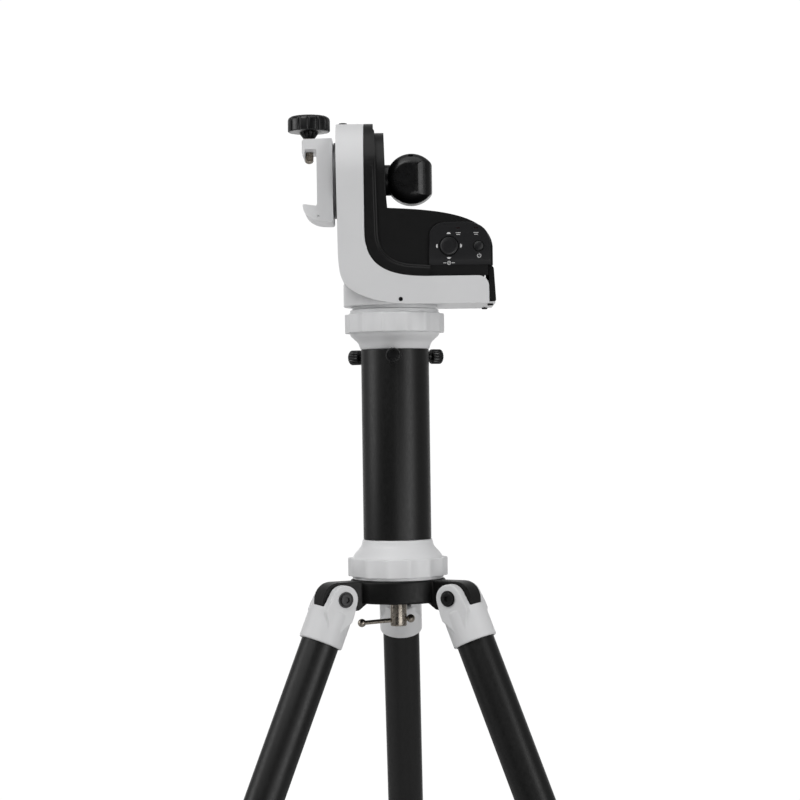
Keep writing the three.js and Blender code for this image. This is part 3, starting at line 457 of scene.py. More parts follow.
class Finish:
    """A node material with one principled shader, whose bump and colour come from object space."""

    def __init__(self, name, color, roughness, metallic=0.0):
        self.material = bpy.data.materials.new(name)
        self.material.use_nodes = True
        self.nodes = self.material.node_tree.nodes
        self.links = self.material.node_tree.links
        self.shader = self.nodes["Principled BSDF"]
        self.shader.inputs["Base Color"].default_value = (*color, 1)
        self.shader.inputs["Roughness"].default_value = roughness
        self.shader.inputs["Metallic"].default_value = metallic
        self.color = color
        self.roughness = roughness
        self.coordinates = self.nodes.new("ShaderNodeTexCoord").outputs["Object"]

    def noise(self, scale, detail=3.0, stretch=None):
        """Noise with features about `scale` millimetres apart."""
        source = self.coordinates
        if stretch:
            mapping = self.nodes.new("ShaderNodeMapping")
            mapping.inputs["Scale"].default_value = stretch
            self.links.new(source, mapping.inputs["Vector"])
            source = mapping.outputs["Vector"]
        noise = self.nodes.new("ShaderNodeTexNoise")
        noise.inputs["Scale"].default_value = 1 / (scale * MM)
        noise.inputs["Detail"].default_value = detail
        self.links.new(source, noise.inputs["Vector"])
        return noise.outputs["Fac"]

    def remap(self, value, low_out, high_out):
        """The middle of a noise's range spread over a new range."""
        remap = self.nodes.new("ShaderNodeMapRange")
        remap.inputs["From Min"].default_value = NOISE_LOW
        remap.inputs["From Max"].default_value = NOISE_HIGH
        remap.inputs["To Min"].default_value = low_out
        remap.inputs["To Max"].default_value = high_out
        self.links.new(value, remap.inputs["Value"])
        return remap.outputs["Result"]

    def vary_roughness(self, scale, spread):
        result = self.remap(self.noise(scale), self.roughness - spread, self.roughness + spread)
        self.links.new(result, self.shader.inputs["Roughness"])
        return self

    def vary_color(self, scale, spread):
        """Darken and lighten the colour by a share of itself."""
        ramp = self.nodes.new("ShaderNodeValToRGB")
        for element, share in zip(ramp.color_ramp.elements, (1 - spread, 1 + spread)):
            element.color = (*[c * share for c in self.color], 1)
        ramp.color_ramp.elements[0].position = NOISE_LOW
        ramp.color_ramp.elements[1].position = NOISE_HIGH
        self.links.new(self.noise(scale), ramp.inputs["Fac"])
        self.links.new(ramp.outputs["Color"], self.shader.inputs["Base Color"])
        return self

    def bump(self, scale, height, stretch=None):
        """Bumps of `height` millimetres."""
        node = self.nodes.new("ShaderNodeBump")
        node.inputs["Strength"].default_value = 1.0
        node.inputs["Distance"].default_value = height * MM
        self.links.new(self.noise(scale, 2.0, stretch), node.inputs["Height"])
        previous = self.shader.inputs["Normal"]
        if previous.is_linked:
            self.links.new(previous.links[0].from_socket, node.inputs["Normal"])
        self.links.new(node.outputs["Normal"], previous)
        return self

    def specular(self, level):
        self.shader.inputs["Specular IOR Level"].default_value = level
        return self


def white_paint(name, level):
    finish = Finish(name, (level, level * 1.003, level * 1.012), 0.42)
    finish.vary_color(35, 0.012).vary_roughness(6, 0.04)
    return finish.bump(1.6, 0.012).bump(0.5, 0.003).specular(0.4)


def black_finishes():
    black = Finish("black_satin_coat", (0.005, 0.005, 0.005), 0.42)
    black.vary_color(9, 0.10).vary_roughness(3, 0.05).bump(0.7, 0.012).specular(0.45)
    casting = Finish("black_casting_coat", (0.0035, 0.0035, 0.0034), 0.46)
    casting.vary_color(12, 0.12).vary_roughness(4, 0.06).bump(0.9, 0.03).bump(5, 0.05).specular(0.3)
    plastic = Finish("black_textured_plastic", (0.005, 0.005, 0.0052), 0.42)
    plastic.vary_color(14, 0.08).vary_roughness(3, 0.04).bump(0.45, 0.012).specular(0.34)
    panel = Finish("panel_plastic", (0.010, 0.010, 0.0112), 0.42)
    panel.vary_color(10, 0.06).vary_roughness(3, 0.03).bump(0.35, 0.006).specular(0.4)
    knob = Finish("knob_plastic", (0.0045, 0.0045, 0.005), 0.30)
    knob.vary_color(10, 0.08).vary_roughness(5, 0.04).bump(0.8, 0.0015)
    rubber = Finish("rubber", (0.012, 0.012, 0.012), 0.75)
    rubber.vary_color(6, 0.15).vary_roughness(2, 0.06).bump(0.5, 0.03).specular(0.3)
    return {"black": black, "casting": casting, "plastic": plastic,
            "panel": panel, "knob": knob, "rubber": rubber}


def metal_finishes():
    nickel = Finish("nickel", (0.40, 0.36, 0.31), 0.3, 1.0)
    nickel.vary_color(4, 0.12).vary_roughness(2, 0.08).bump(0.4, 0.004, stretch=(1, 1, 6))
    oxide = Finish("black_oxide_steel", (0.025, 0.025, 0.026), 0.35, 0.6)
    oxide.vary_color(3, 0.2).vary_roughness(1.5, 0.08).bump(0.6, 0.008)
    grey = Finish("grey_satin_metal", (0.13, 0.13, 0.135), 0.42, 0.3)
    grey.vary_color(10, 0.05).vary_roughness(2, 0.05).bump(0.5, 0.004)
    zinc = Finish("zinc", (0.42, 0.42, 0.43), 0.4, 1.0)
    zinc.vary_color(5, 0.1).vary_roughness(2, 0.08).bump(1, 0.01)
    brass = Finish("brass", (0.62, 0.45, 0.2), 0.32, 1.0)
    brass.vary_color(5, 0.08).vary_roughness(1.5, 0.08).bump(0.6, 0.005)
    return {"nickel": nickel, "oxide": oxide, "grey": grey, "zinc": zinc, "brass": brass}


def make_materials():
    board = Finish("solder_mask", (0.015, 0.11, 0.04), 0.35)
    board.vary_color(4, 0.2).vary_roughness(2, 0.05).bump(1.2, 0.01)
    ink = Finish("white_ink", (0.72, 0.72, 0.72), 0.6)
    ink.vary_color(1.5, 0.04).bump(0.3, 0.003)
    lens = Finish("lamp_lens", (0.02, 0.012, 0.012), 0.18)
    lens.vary_color(2, 0.2).bump(0.6, 0.004)
    finishes = {"white": white_paint("white_coat", 0.82), "ring": white_paint("white_ring_coat", 0.86),
                **black_finishes(), **metal_finishes(), "board": board, "ink": ink, "lens": lens}
    return {name: finish.material for name, finish in finishes.items()}


MAT = make_materials()
BASE = "tripod_base"


# ---------------------------------------------------------------- tripod

def lug_outline():
    """A crown lug in its leg's plane: u outwards from the hinge, w up."""
    plane = 13.0
    s, c = math.sin(SPLAY), math.cos(SPLAY)
    tip = (plane * s + 15.4 * c, -plane * c + 15.4 * s)
    top = bezier(tip, (20.6, 5), (14.5, 15.8), (2, 16), 14)
    under = arc(0, 0, plane, -90, -90 + math.degrees(SPLAY), 6)
    return [(-42, -6), (-29, -6), (-20, -12.5), *under, *top, (-42, 16)]


def make_crown():
    drum = rod("crown", CROWN_R, CROWN_BOTTOM, CROWN_TOP, 2.2, FINE)
    lugs = []
    for azimuth in LEG_AZIMUTHS:
        lug = prism("lug", lug_outline(), -LUG_HALF, LUG_HALF)
        lug = combine(lug, along_y(rod("bore", 4.3, -12, 12)))
        shift(lug, HINGE_R)
        lugs.append(spin(lug, math.radians(azimuth), "Z"))
    posts = [shift(rod("post", 3, -9.5, 0, 0.6), side * 13) for side in (-1, 1)]
    relief = turned("relief", [(13, -9), (42, -9), (40, -3.5), (16, -3.5)], 1, FINE, closed=True)
    crown = combine(join(drum, *lugs), relief)
    crown = join(crown, *posts)
    throat = rod("throat", THREAD_BORE, -12, 20)
    cast(combine(crown, throat), 0.7, 4)
    finish_piece(crown, BASE, MAT["casting"], "black_metal", "tripod_crown")


def make_captive_bolt():
    profile = [(0, -31, 0), (BOLT_SHAFT_R, -31, 1.4), (BOLT_SHAFT_R, -6.3, 0.8), (THREAD_R, -6.3, 0)]
    points = rounded(profile, 0.5, 4, closed=False)
    pitch = 1.5
    z = -5.6
    while z < 32.5:
        points += [(THREAD_R, z), (4.2, z + pitch / 2)]
        z += pitch
    points += [(4.3, 32.7), (0, 32.7)]
    bolt = revolve("bolt", points, SMALL)
    hole = along_x(rod("hole", 2.4, -12, 12, 0, 24))
    shift(spin(hole, -BAR_TILT, "Y"), z=BAR_Z)
    combine(bolt, hole)
    sleeve = [(7.9, -22), (BOLT_SHAFT_R, -22, 1), (BOLT_SHAFT_R, -8.5, 1), (7.9, -8.5), (7.9, -22)]
    knurl = revolve("knurl", sleeve, 160, scallops(40, 0.28, 1.0))
    finish_piece(knurl, "captive_bolt", MAT["nickel"], "steel")
    finish_piece(bolt, "captive_bolt", MAT["nickel"], "steel", "captive_bolt")


def make_tommy_bar():
    """A rod with a ball at each end."""
    left, right, ball = -36.9, 12.2, 4.2
    stop = 180 - math.degrees(math.asin(BAR_R / ball))
    first = [(x, left - z) for z, x in arc(0, 0, ball, 0, stop, 18)]
    second = [(x, right + z) for z, x in arc(0, 0, ball, stop, 0, 18)]
    bar = along_x(revolve("bar", first + second, SMALL))
    shift(spin(bar, -BAR_TILT, "Y"), z=BAR_Z)
    finish_piece(bar, "tommy_bar", MAT["nickel"], "steel", "tommy_bar")


def leg_matrix(azimuth):
    turn = Matrix.Rotation(math.radians(azimuth), 4, "Z") @ Matrix.Translation((HINGE_R, 0, 0))
    return turn @ Matrix.Rotation(-SPLAY, 4, "Y")


def make_bracket():
    """A cast fork with a collar for the tube; the leg runs along -Z and the hinge along Y."""
    ear = [(6, -34), (15.4, -18), (15.2, -12), *arc(0, 0, 13.7, 6, 174, 32),
           (-15.2, -12), (-15.4, -18), (-6, -34)]
    fork = prism("bracket", ear, EAR_INNER, EAR_OUTER)
    fork = join(fork, prism("ear", ear, -EAR_OUTER, -EAR_INNER))
    collar = rod("collar", COLLAR_R, -COLLAR_END, -COLLAR_TOP, 1.4, FINE)
    body = join(fork, collar)
    socket = rod("socket", UPPER_SOCKET_R, -50, -17.3, 0.5, FINE)
    pivot = along_y(rod("pivot", 4.4, -30, 30))
    return cast(combine(body, socket, pivot), 0.62, 4)


def make_pivot_bolt():
    """A washer and a button head with a hexagonal socket at each end of the pivot."""
    seat, tip = 21.35, 23.8
    end = [(4, seat, 0), (7.8, seat, 0.2), (7.8, seat + 0.7, 0.2), (6.3, seat + 0.7, 0),
           (6.3, tip, 1.1), (0, tip, 0)]
    profile = [(r, -z, bend) for r, z, bend in reversed(end)] + end
    bolt = revolve("pivot_bolt", rounded(profile, 0, 5, closed=False), ROUND)
    for side in (-1, 1):
        socket = prism("socket", hexagon(3.2), side * tip - 1.9, side * tip + 1.9, "z")
        combine(bolt, socket)
    return along_y(bolt)


def make_leg_tube(name, inner, outer, start, end):
    points = [(inner, -end), (outer, -end), (outer, -start), (inner, -start)]
    return turned(name, points, 0.35, FINE, closed=True)


def make_clamp_collar():
    """A split clamp with a boss for its knob and a shallow groove round it."""
    profile = [(0, -CLAMP_END, 0), (CLAMP_R, -CLAMP_END, 1.4), (CLAMP_R, -566), (22.3, -564.5),
               (22.3, -562), (CLAMP_R, -560.5), (CLAMP_R, -CLAMP_START, 1.4), (0, -CLAMP_START, 0)]
    collar = turned("clamp_collar", profile, 0.5, FINE)
    boss = shift(along_x(rod("boss", 8, 0, 30, 0.8)), z=-CLAMP_KNOB_AT)
    collar = join(collar, boss)
    upper = rod("upper", UPPER_SOCKET_R, -560.3, -530, 0, FINE)
    lower = rod("lower", LOWER_SOCKET_R, -590, -559, 0, FINE)
    screw = shift(along_x(rod("hole", 3.3, 5, 31)), z=-CLAMP_KNOB_AT)
    return soften(clean(combine(collar, upper, lower, screw)), 0.5, 2)


def make_clamp_knob():
    """A five-lobed knob with its screw."""
    def lobes(a):
        return 1.25 * (1 + math.cos(5 * a))

    profile = [(0, 15.8), (2.6, 15.8), (3, 16.2), (3, 30.3), (9, 30.3)]
    profile += [(12.6, 30.3, 0.8), (13.6, 31.0, 1), (14, 32.2, 1), (14, 41.4, 1), (13.3, 43.1, 1)]
    profile += [(11.6, 44, 0.9), (7, 44), (6.4, 43.4), (0, 43.2)]
    return shift(along_x(revolve("clamp_knob", profile, 120, lobes)), z=-CLAMP_KNOB_AT)


def make_foot():
    """A ribbed rubber boot with a flat sole."""
    profile = [(0, -LEG_REACH - 12, 0), (20, -LEG_REACH - 12, 0)]
    for i in range(4):
        z = -632 + i * 4.2
        profile += [(20 - i * 0.25, z), (20 - i * 0.25, z + 2.4)]
        profile += [(19.2 - i * 0.25, z + 2.9), (19.2 - i * 0.25, z + 3.9)]
    profile += [(19, -614), (19, -FOOT_START, 1.2), (0, -FOOT_START, 0)]
    foot = turned("foot", profile, 0.25, FINE)
    socket = rod("socket", LOWER_SOCKET_R, -612.3, -600, 0, FINE)
    ground = block("ground", (-60, 60), (-60, 60), (-60, 0))
    shift(spin(ground, SPLAY, "Y"), z=-LEG_REACH)
    return soften(clean(combine(foot, socket, ground)), 0.5, 2)


def make_legs():
    for i, azimuth in enumerate(LEG_AZIMUTHS, 1):
        leg = f"leg_{i}"
        matrix = leg_matrix(azimuth)
        finish_piece(make_bracket(), leg, MAT["white"], "white_casting", f"{leg}_bracket", matrix=matrix)
        finish_piece(make_pivot_bolt(), BASE, MAT["oxide"], "black_steel", f"{leg}_pivot_bolt", matrix=matrix)
        upper = make_leg_tube("upper_tube", *UPPER_TUBE)
        finish_piece(upper, leg, MAT["black"], "black_metal", f"{leg}_upper_tube", matrix=matrix)
        collar = make_clamp_collar()
        finish_piece(collar, leg, MAT["plastic"], "black_plastic", f"{leg}_clamp_collar", matrix=matrix)
        knob = make_clamp_knob()
        name = f"{leg}_clamp_knob"
        finish_piece(knob, name, MAT["knob"], "black_plastic", name, matrix=matrix)
        lower = make_leg_tube("lower_tube", *LOWER_TUBE)
        finish_piece(lower, f"{leg}_lower", MAT["black"], "black_metal", f"{leg}_lower_tube", matrix=matrix)
        finish_piece(make_foot(), f"{leg}_lower", MAT["rubber"], "rubber", f"{leg}_foot", matrix=matrix)


# ---------------------------------------------------------------- pier

def ring_profile(z0, z1, r=RING_R, edge=1.3):
    """The fluted rim's outline from its lower inner corner to its upper inner corner."""
    points = []
    for x, z in arc(r - edge, z0 + edge, edge, -90, 0, 5):
        points.append((x, z, 1))
    for x, z in arc(r - edge, z1 - edge, edge, 0, 90, 5):
        points.append((x, z, 1))
    return points


def make_pier():
    flutes = scallops(FLUTES, FLUTE_DEPTH, phase=-math.pi / 2)
    lower = rounded([(0, CAP_BOTTOM, 0), (45, CAP_BOTTOM, 0.6), (45, LOW_RING[0], 0)], 0, 4, closed=False)
    lower += ring_profile(*LOW_RING)
    lower += [(45, LOW_RING[1])] + bezier((44.6, 38.2), (42, 44.6), (36, 46.4), (35.2, 53), 14)
    lower += [(35.0, 54.6), (34.2, 55.5), (SPIGOT_R, 55.8), (SPIGOT_R, 80.1), (POCKET_R, 80.1),
              (POCKET_R, 43.8), (THREAD_BORE, 43.8), (THREAD_BORE, CAP_BOTTOM)]
    lower = [p for p in lower if p[0] > 1e-6] + [(THREAD_BORE, CAP_BOTTOM)]
    lower.append(lower[0])
    cap = revolve("pier_bottom_cap", lower, CAP_SEGMENTS, flutes)
    finish_piece(cap, BASE, MAT["ring"], "white_casting", "pier_bottom_cap")

    upper = [(POCKET_R, 220.7), (SPIGOT_R, 220.7), (SPIGOT_R, 245), (33.6, 245.1), (34.4, 245.8), (35.2, 248)]
    upper += bezier((36.2, 250.6), (38.4, 254.8), (43.2, 256.2), (45, 261), 14)
    upper += ring_profile(*HIGH_RING, RING_R - 0.1)
    plate = [(44.2, HIGH_RING[1], 0), (44.2, CAP_TOP, 0.8), (THREAD_BORE, CAP_TOP, 0)]
    upper += rounded(plate, 0, 4, closed=False)
    upper += [(THREAD_BORE, 262), (POCKET_R, 262), (POCKET_R, 220.7)]
    cap = revolve("pier_top_cap", upper, CAP_SEGMENTS, flutes)
    finish_piece(cap, BASE, MAT["ring"], "white_casting", "pier_top_cap")

    wall = [(TUBE_BORE, TUBE_FOOT), (TUBE_R, TUBE_FOOT), (TUBE_R, TUBE_TOP), (TUBE_BORE, TUBE_TOP)]
    tube = turned("pier_tube", wall, 0.4, FINE, closed=True)
    holes = []
    for azimuth in SCREW_AZIMUTHS:
        hole = along_x(rod("hole", 2.9, 20, 50))
        holes.append(shift(spin(hole, math.radians(azimuth), "Z"), z=SCREW_Z))
    finish_piece(clean(combine(tube, *holes)), BASE, MAT["black"], "black_metal", "pier_tube")

    for i, azimuth in enumerate(SCREW_AZIMUTHS, 1):
        make_thumbscrew(i, azimuth)


def make_thumbscrew(number, azimuth):
    """A knurled knob with a recessed end on its clamping screw."""
    profile = [(0, 32.1), (2.2, 32.1), (2.6, 32.6), (2.6, 38.2), (3.6, 38.4), (3.6, 40.8), (6.4, 40.8)]
    profile += [(7.1, 41.1, 1), (7.5, 41.8, 1), (7.5, 51.1, 1), (7.0, 51.9, 1), (6.2, 52.2), (4.4, 52.2)]
    profile += [(4.0, 51.7), (0, 51.7)]
    screw = along_x(revolve("thumbscrew", profile, 120, scallops(20, 0.55, 0.9)))
    shift(spin(screw, math.radians(azimuth), "Z"), z=SCREW_Z)
    name = f"thumbscrew_{number}"
    finish_piece(screw, name, MAT["knob"], "black_plastic", name)


# ---------------------------------------------------------------- head

SEAM_Z = 314.5
SEAM_CURVE = bezier((SPLIT_X, 359.3), (SPLIT_X, 327.4), (-10, SEAM_Z - 0.1), (34, SEAM_Z))
SEAM_END = [(HEAD_RIGHT - 10.5, SEAM_Z), *arc(HEAD_RIGHT - 10.5, SEAM_Z - 10.5, 10.5, 90, 0, 12)[1:]]


def offset_curve(curve, distance):
    """The curve moved sideways, to its left as it runs."""
    out = []
    for i, point in enumerate(curve):
        a = Vector(curve[max(i - 1, 0)])
        b = Vector(curve[min(i + 1, len(curve) - 1)])
        along = (b - a).normalized()
        out.append(tuple(Vector(point) + Vector((-along.y, along.x)) * distance))
    return out


def shell_outline(inset=0.0):
    """The white shell's outside in front view, from its top right corner round to its bottom right."""
    left = HEAD_LEFT + inset
    bottom = HEAD_BOTTOM + inset
    foot = [(left, HEAD_TOP - inset, 0), (left + 1.6, 331), (left + 3.6, 316.2), (left + 8.1, 307),
            (left + 17.8, 299.5 + inset), (left + 30, 294.3 + inset), (left + 42.2, 290.8 + inset),
            (left + 64, bottom), (HEAD_RIGHT - inset, bottom, 0)]
    return [(SPLIT_X, HEAD_TOP - inset), *rounded(foot, 14, 6, closed=False)]


def make_outer_shell():
    outline = [*shell_outline(), *reversed([*SEAM_CURVE, *SEAM_END])]
    shell = common(prism("arm_outer_shell", outline, -HEAD_HALF, HEAD_HALF),
                   prism("arch", arch(HEAD_HALF, 280, HEAD_TOP), -80, 120, "x"))
    ledge = block("ledge", (HEAD_RIGHT - 2, LEDGE_RIGHT), (-44, 44), (HEAD_BOTTOM, 289.2))
    inner = HEAD_HALF - WALL
    hollow_outline = [*shell_outline(WALL), (HEAD_RIGHT - WALL, 340), (SPLIT_X + 60, 340),
                      (SPLIT_X + 20, 370), (SPLIT_X + 20, HEAD_TOP - WALL)]
    hollow = common(prism("hollow", hollow_outline, -inner, inner),
                    prism("arch", arch(inner, 270, HEAD_TOP - WALL), -80, 120, "x"))
    turret_hollow = rod("turret_hollow", 47.6, 290.7, 308, 0, FINE)
    mouth = rod("mouth", TURRET_MOUTH, 280, 300, 0, FINE)
    shell = baked(soften(clean(join(shell, ledge)), 2.2, 5))
    side = [(0, HEAD_BOTTOM), (TURRET_R, HEAD_BOTTOM, 1.2), (TURRET_R, TURRET_TOP, 2), (0, TURRET_TOP)]
    shell = combine(join(shell, turned("turret", side, 0, FINE)), hollow, turret_hollow, mouth)
    plate = block("plate", (-46.5, 62), (-50, 50), (308.5, 311.5))
    plate = combine(plate, rod("seat", 20.3, 300, 320, 0, ROUND))
    boss = on_altitude(rod("boss", 21, -54.8, -47.8, 0, ROUND))
    seat = on_altitude(rod("seat", 15.8, -57, -46.8, 0, ROUND))
    doorway = block("doorway", (HEAD_RIGHT - 5, HEAD_RIGHT + 2), (-34, 34), (294, 318))
    plug_hole = shift(rod("plug_hole", 3.6, 460, 480), x=PLUG_X)
    screw_hole = along_y(rod("screw_hole", 2.2, -52, -49.2))
    shift(screw_hole, SET_SCREW[0], 0, SET_SCREW[1])
    shell = combine(join(shell, plate, boss), seat, doorway, plug_hole, screw_hole)
    finish_piece(flatten(clean(shell)), "head", MAT["white"], "white_shell", "arm_outer_shell")
    screw = along_y(rod("set_screw", 2, -50.2, -49.4, 0.2))
    combine(screw, along_y(prism("socket", hexagon(1.1), -51, -49.8, "z")))
    finish_piece(shift(screw, SET_SCREW[0], 0, SET_SCREW[1]), "head", MAT["oxide"], "black_steel")


def band_sections(seam, ridge):
    """The band's outline at each depth: its ridge has a narrow ledge between two rounded edges."""
    steps = [(4.1, 0), (3.5, 0.14), (2.8, 0.48), (2.4, 1.0), (2.3, 1.6),
             (1.7, 1.66), (1.2, 1.8), (0.5, 2.14), (0.1, 2.7), (0, 3.3)]
    depths = [(depth - HEAD_HALF, cut_back) for cut_back, depth in steps]
    depths += [(HEAD_HALF - depth, cut_back) for cut_back, depth in reversed(steps)]
    return [([*seam, *offset_curve(ridge, cut_back)], y) for y, cut_back in depths]


def deck_outline(seam, inset):
    """Front view of the black cover's main tier: narrow arm and deck."""
    top = bezier((DECK_RIGHT, 343), (94.4, 376.5), (38, 380), (-5.4, 382.2), 30)
    right = DECK_RIGHT - inset
    return [(SPLIT_X + GAP, INNER_TOP), *seam[1:], (HEAD_RIGHT - GAP, SEAM_Z + GAP),
            (HEAD_RIGHT - GAP, DECK_FOOT), (right, DECK_FOOT), *offset_curve(top, inset),
            (INNER_X + 0.4 - inset, 400), (INNER_X - 1.2 - inset, INNER_TOP)]


def rounded_rim(half, radius=0.9):
    """(inset, y) steps that round a plate's front and back edges."""
    angles = (0, 0.4, 0.8, 1.2, math.pi / 2)
    steps = [(radius * (1 - math.sin(a)), radius * (1 - math.cos(a))) for a in angles]
    front = [(inset, depth - half) for inset, depth in steps]
    return front + [(inset, half - depth) for inset, depth in reversed(steps)]


def make_inner_cover():
    band_seam = [(SPLIT_X + GAP, HEAD_TOP), *offset_curve(SEAM_CURVE, GAP)]
    ridge = [(36, 325.4), (28, 326), *bezier((17, 326.8), (-3.2, 328.6), (-14.2, 338.8), (-14.6, 357), 24),
             (-15.5, 395), (-16.7, 436), (-17.4, 460), (STEP_X, 463), (STEP_X, HEAD_TOP)]
    band = common(loft("arm_inner_cover", band_sections(band_seam, ridge)),
                  prism("arch", arch(HEAD_HALF, 280, HEAD_TOP), -80, 120, "x"))
    sections = [(deck_outline(band_seam, inset), y) for inset, y in rounded_rim(INNER_HALF)]
    deck = common(loft("deck", sections),
                  prism("arch", arch(INNER_HALF, 280, INNER_TOP), -80, 120, "x"))
    core_half = INNER_HALF - WALL
    core_top = bezier((94, 343), (91.2, 372.6), (38, 376.4), (-10.3, 378.8), 24)
    core_outline = [(SPLIT_X - 5, INNER_TOP - WALL), (SPLIT_X - 5, 300), (94, 300), *core_top,
                    (-10.8, INNER_TOP - WALL)]
    core = common(prism("core", core_outline, -core_half, core_half),
                  prism("arch", arch(core_half, 270, INNER_TOP - WALL), -80, 120, "x"))
    boss = on_altitude(rod("boss", 18, -17.3, -9, 0, ROUND))
    seat = on_altitude(rod("seat", 14.3, -20, -10.3, 0, ROUND))
    axle = on_altitude(rod("axle", 8.6, -20, -4, 0, ROUND))
    neck_seat = on_altitude(rod("neck_seat", 15.8, -8.9, -4, 0, ROUND))
    doorway = block("doorway", (HEAD_RIGHT - 6, 99.4), (-DOOR_HALF - 0.6, DOOR_HALF + 0.6), (300, 324.8))
    pad_hole = shift(along_y(rod("hole", 4.5, -50, -38)), PAD[0], 0, PAD[1])
    cover = combine(join(combine(join(band, deck), core), boss), seat, axle, neck_seat, doorway, pad_hole)
    finish_piece(flatten(clean(cover)), "head", MAT["plastic"], "black_plastic", "arm_inner_cover")


def panel_outline(inset=0.0, foot=325.2):
    """Front view of the raised panel; `inset` moves its sides and top in."""
    left = bezier((34.9 + inset, 351.4), (35 + inset, 362), (41.4, 367 - inset), (51.8, 367.5 - inset), 14)
    right = bezier((71.7, 367.8 - inset), (83.7, 366.7 - inset),
                   (94.2 - inset, 361.2), (95.2 - inset, 345.3), 16)
    return [(34.2 + inset, foot), *left, *right, (95.5 - inset, foot)]


def make_panel():
    panel = loft("control_panel", [(panel_outline(0.7, 330.5), PANEL_FRONT), (panel_outline(), PANEL_BACK)])
    pad = shift(along_y(rod("hole", 9.6, -53, -43, 0, ROUND)), PAD[0], 0, PAD[1])
    button = shift(along_y(rod("hole", 5.25, -53, -43, 0, ROUND)), BUTTON[0], 0, BUTTON[1])
    slots = [block("slot", (x - 2, x + 2), (-53, -48.9), (360.3, 361.9)) for x in LAMPS_X]
    combine(panel, pad, button, *slots)
    finish_piece(soften(clean(panel), 1.2, 4), "head", MAT["panel"], "black_plastic", "control_panel")
    for x in LAMPS_X:
        lamp = block("lamp_lens", (x - 1.8, x + 1.8), (-49.15, -48.95), (360.45, 361.75))
        finish_piece(soften(lamp, 0.05, 2), "head", MAT["lens"], "black_plastic")
    make_marks()


def print_mark(name, outline, x, z):
    """A thin printed mark on the panel's face."""
    mark = prism(name, [(x + u, z + w) for u, w in outline], PANEL_FRONT - 0.06, PANEL_FRONT - 0.005)
    finish_piece(mark, "head", MAT["ink"], "black_plastic", smooth=False)


def make_marks():
    """Direction arrows, a centring mark, a power mark and two lamp marks."""
    dome = [(-2.0, -1.1), (2.0, -1.1), *arc(0, -1.1, 2.0, 15, 165, 12)]
    for k, (dx, dz) in enumerate(((0, 12.6), (-11.9, 0), (0, -12.0), (12.0, 0))):
        turn = Matrix.Rotation(math.radians(90 * k), 2)
        outline = [tuple(turn @ Vector((u, w * 0.85))) for u, w in dome]
        print_mark("direction_mark", outline, PAD[0] + dx, PAD[1] + dz)
    ring = [*arc(0, 0, 1.9, 0, 359, 36), *arc(0, 0, 1.35, 359, 0, 36)]
    print_mark("centre_ring_mark", ring, PAD[0], PAD[1] - 16.6)
    print_mark("centre_dot_mark", arc(0, 0, 0.6, 0, 342, 19), PAD[0], PAD[1] - 16.6)
    for side in (-1, 1):
        bar = [(side * 2.6, -0.28), (side * 5.6, -0.28), (side * 5.6, 0.28), (side * 2.6, 0.28)]
        print_mark("centre_bar_mark", bar, PAD[0], PAD[1] - 16.6)
    broken = [*arc(0, 0, 2.0, 125, 415, 34), *arc(0, 0, 1.45, 415, 125, 34)]
    print_mark("power_ring_mark", broken, BUTTON[0] + 0.4, BUTTON[1] - 9.6)
    bar = [(-0.27, 0.2), (0.27, 0.2), (0.27, 2.5), (-0.27, 2.5)]
    print_mark("power_bar_mark", bar, BUTTON[0] + 0.4, BUTTON[1] - 9.6)
    for x in LAMPS_X:
        for row in (0, 1):
            half = 2.4 - row * 0.5
            bar = [(-half, -0.28), (half, -0.28), (half, 0.28), (-half, 0.28)]
            print_mark("lamp_mark", bar, x, 356.4 - row * 1.7)


def make_controls():
    pad = [(0, PAD_SEAT), (PAD_R - 0.6, PAD_SEAT), (PAD_R, PAD_SEAT + 0.6), (PAD_R, 49.7),
           (PAD_R - 0.3, 50.15), (PAD_R - 0.8, 50.3), (PAD_R - 1.4, 50.1),
           (PAD_R - 1.7, 49.95), (4.5, 50.05), (0, 50.1)]
    pad = shift(spin(revolve("direction_pad", pad, ROUND), math.radians(90), "X"), PAD[0], 0, PAD[1])
    finish_piece(pad, "direction_pad", MAT["panel"], "rubber", "direction_pad")
    angles = [math.radians(8 * k) for k in range(1, 11)]
    crest = [(BUTTON_R * math.cos(a), 49.6 + 1.75 * math.sin(a)) for a in angles]
    dome = [(0, PAD_SEAT), (BUTTON_R - 0.3, PAD_SEAT), (BUTTON_R, PAD_SEAT + 0.4), (BUTTON_R, 49.6),
            *crest, (0, 51.35)]
    button = shift(spin(revolve("power_button", dome, ROUND), math.radians(90), "X"), BUTTON[0], 0, BUTTON[1])
    finish_piece(button, "power_button", MAT["panel"], "rubber", "power_button")


def make_door():
    """The battery door: thicker towards its round hinge edge, with two long grooves down its outside."""
    x, z, r = HINGE
    outline = [(93.4, 292), (94.7, 289.9), *arc(x, z, r, 250, 360, 8),
               (98.3, 322.2), (97.1, DOOR_TOP), (93.4, DOOR_TOP)]
    door = prism("battery_door", outline, -DOOR_HALF, DOOR_HALF)
    for side in (-1, 1):
        groove = block("groove", (98.1, 101), (side * 26 - 0.6, side * 26 + 0.6), (296, 320))
        combine(door, groove)
    finish_piece(soften(clean(door), 0.7, 3), "battery_door", MAT["plastic"], "black_plastic", "battery_door")


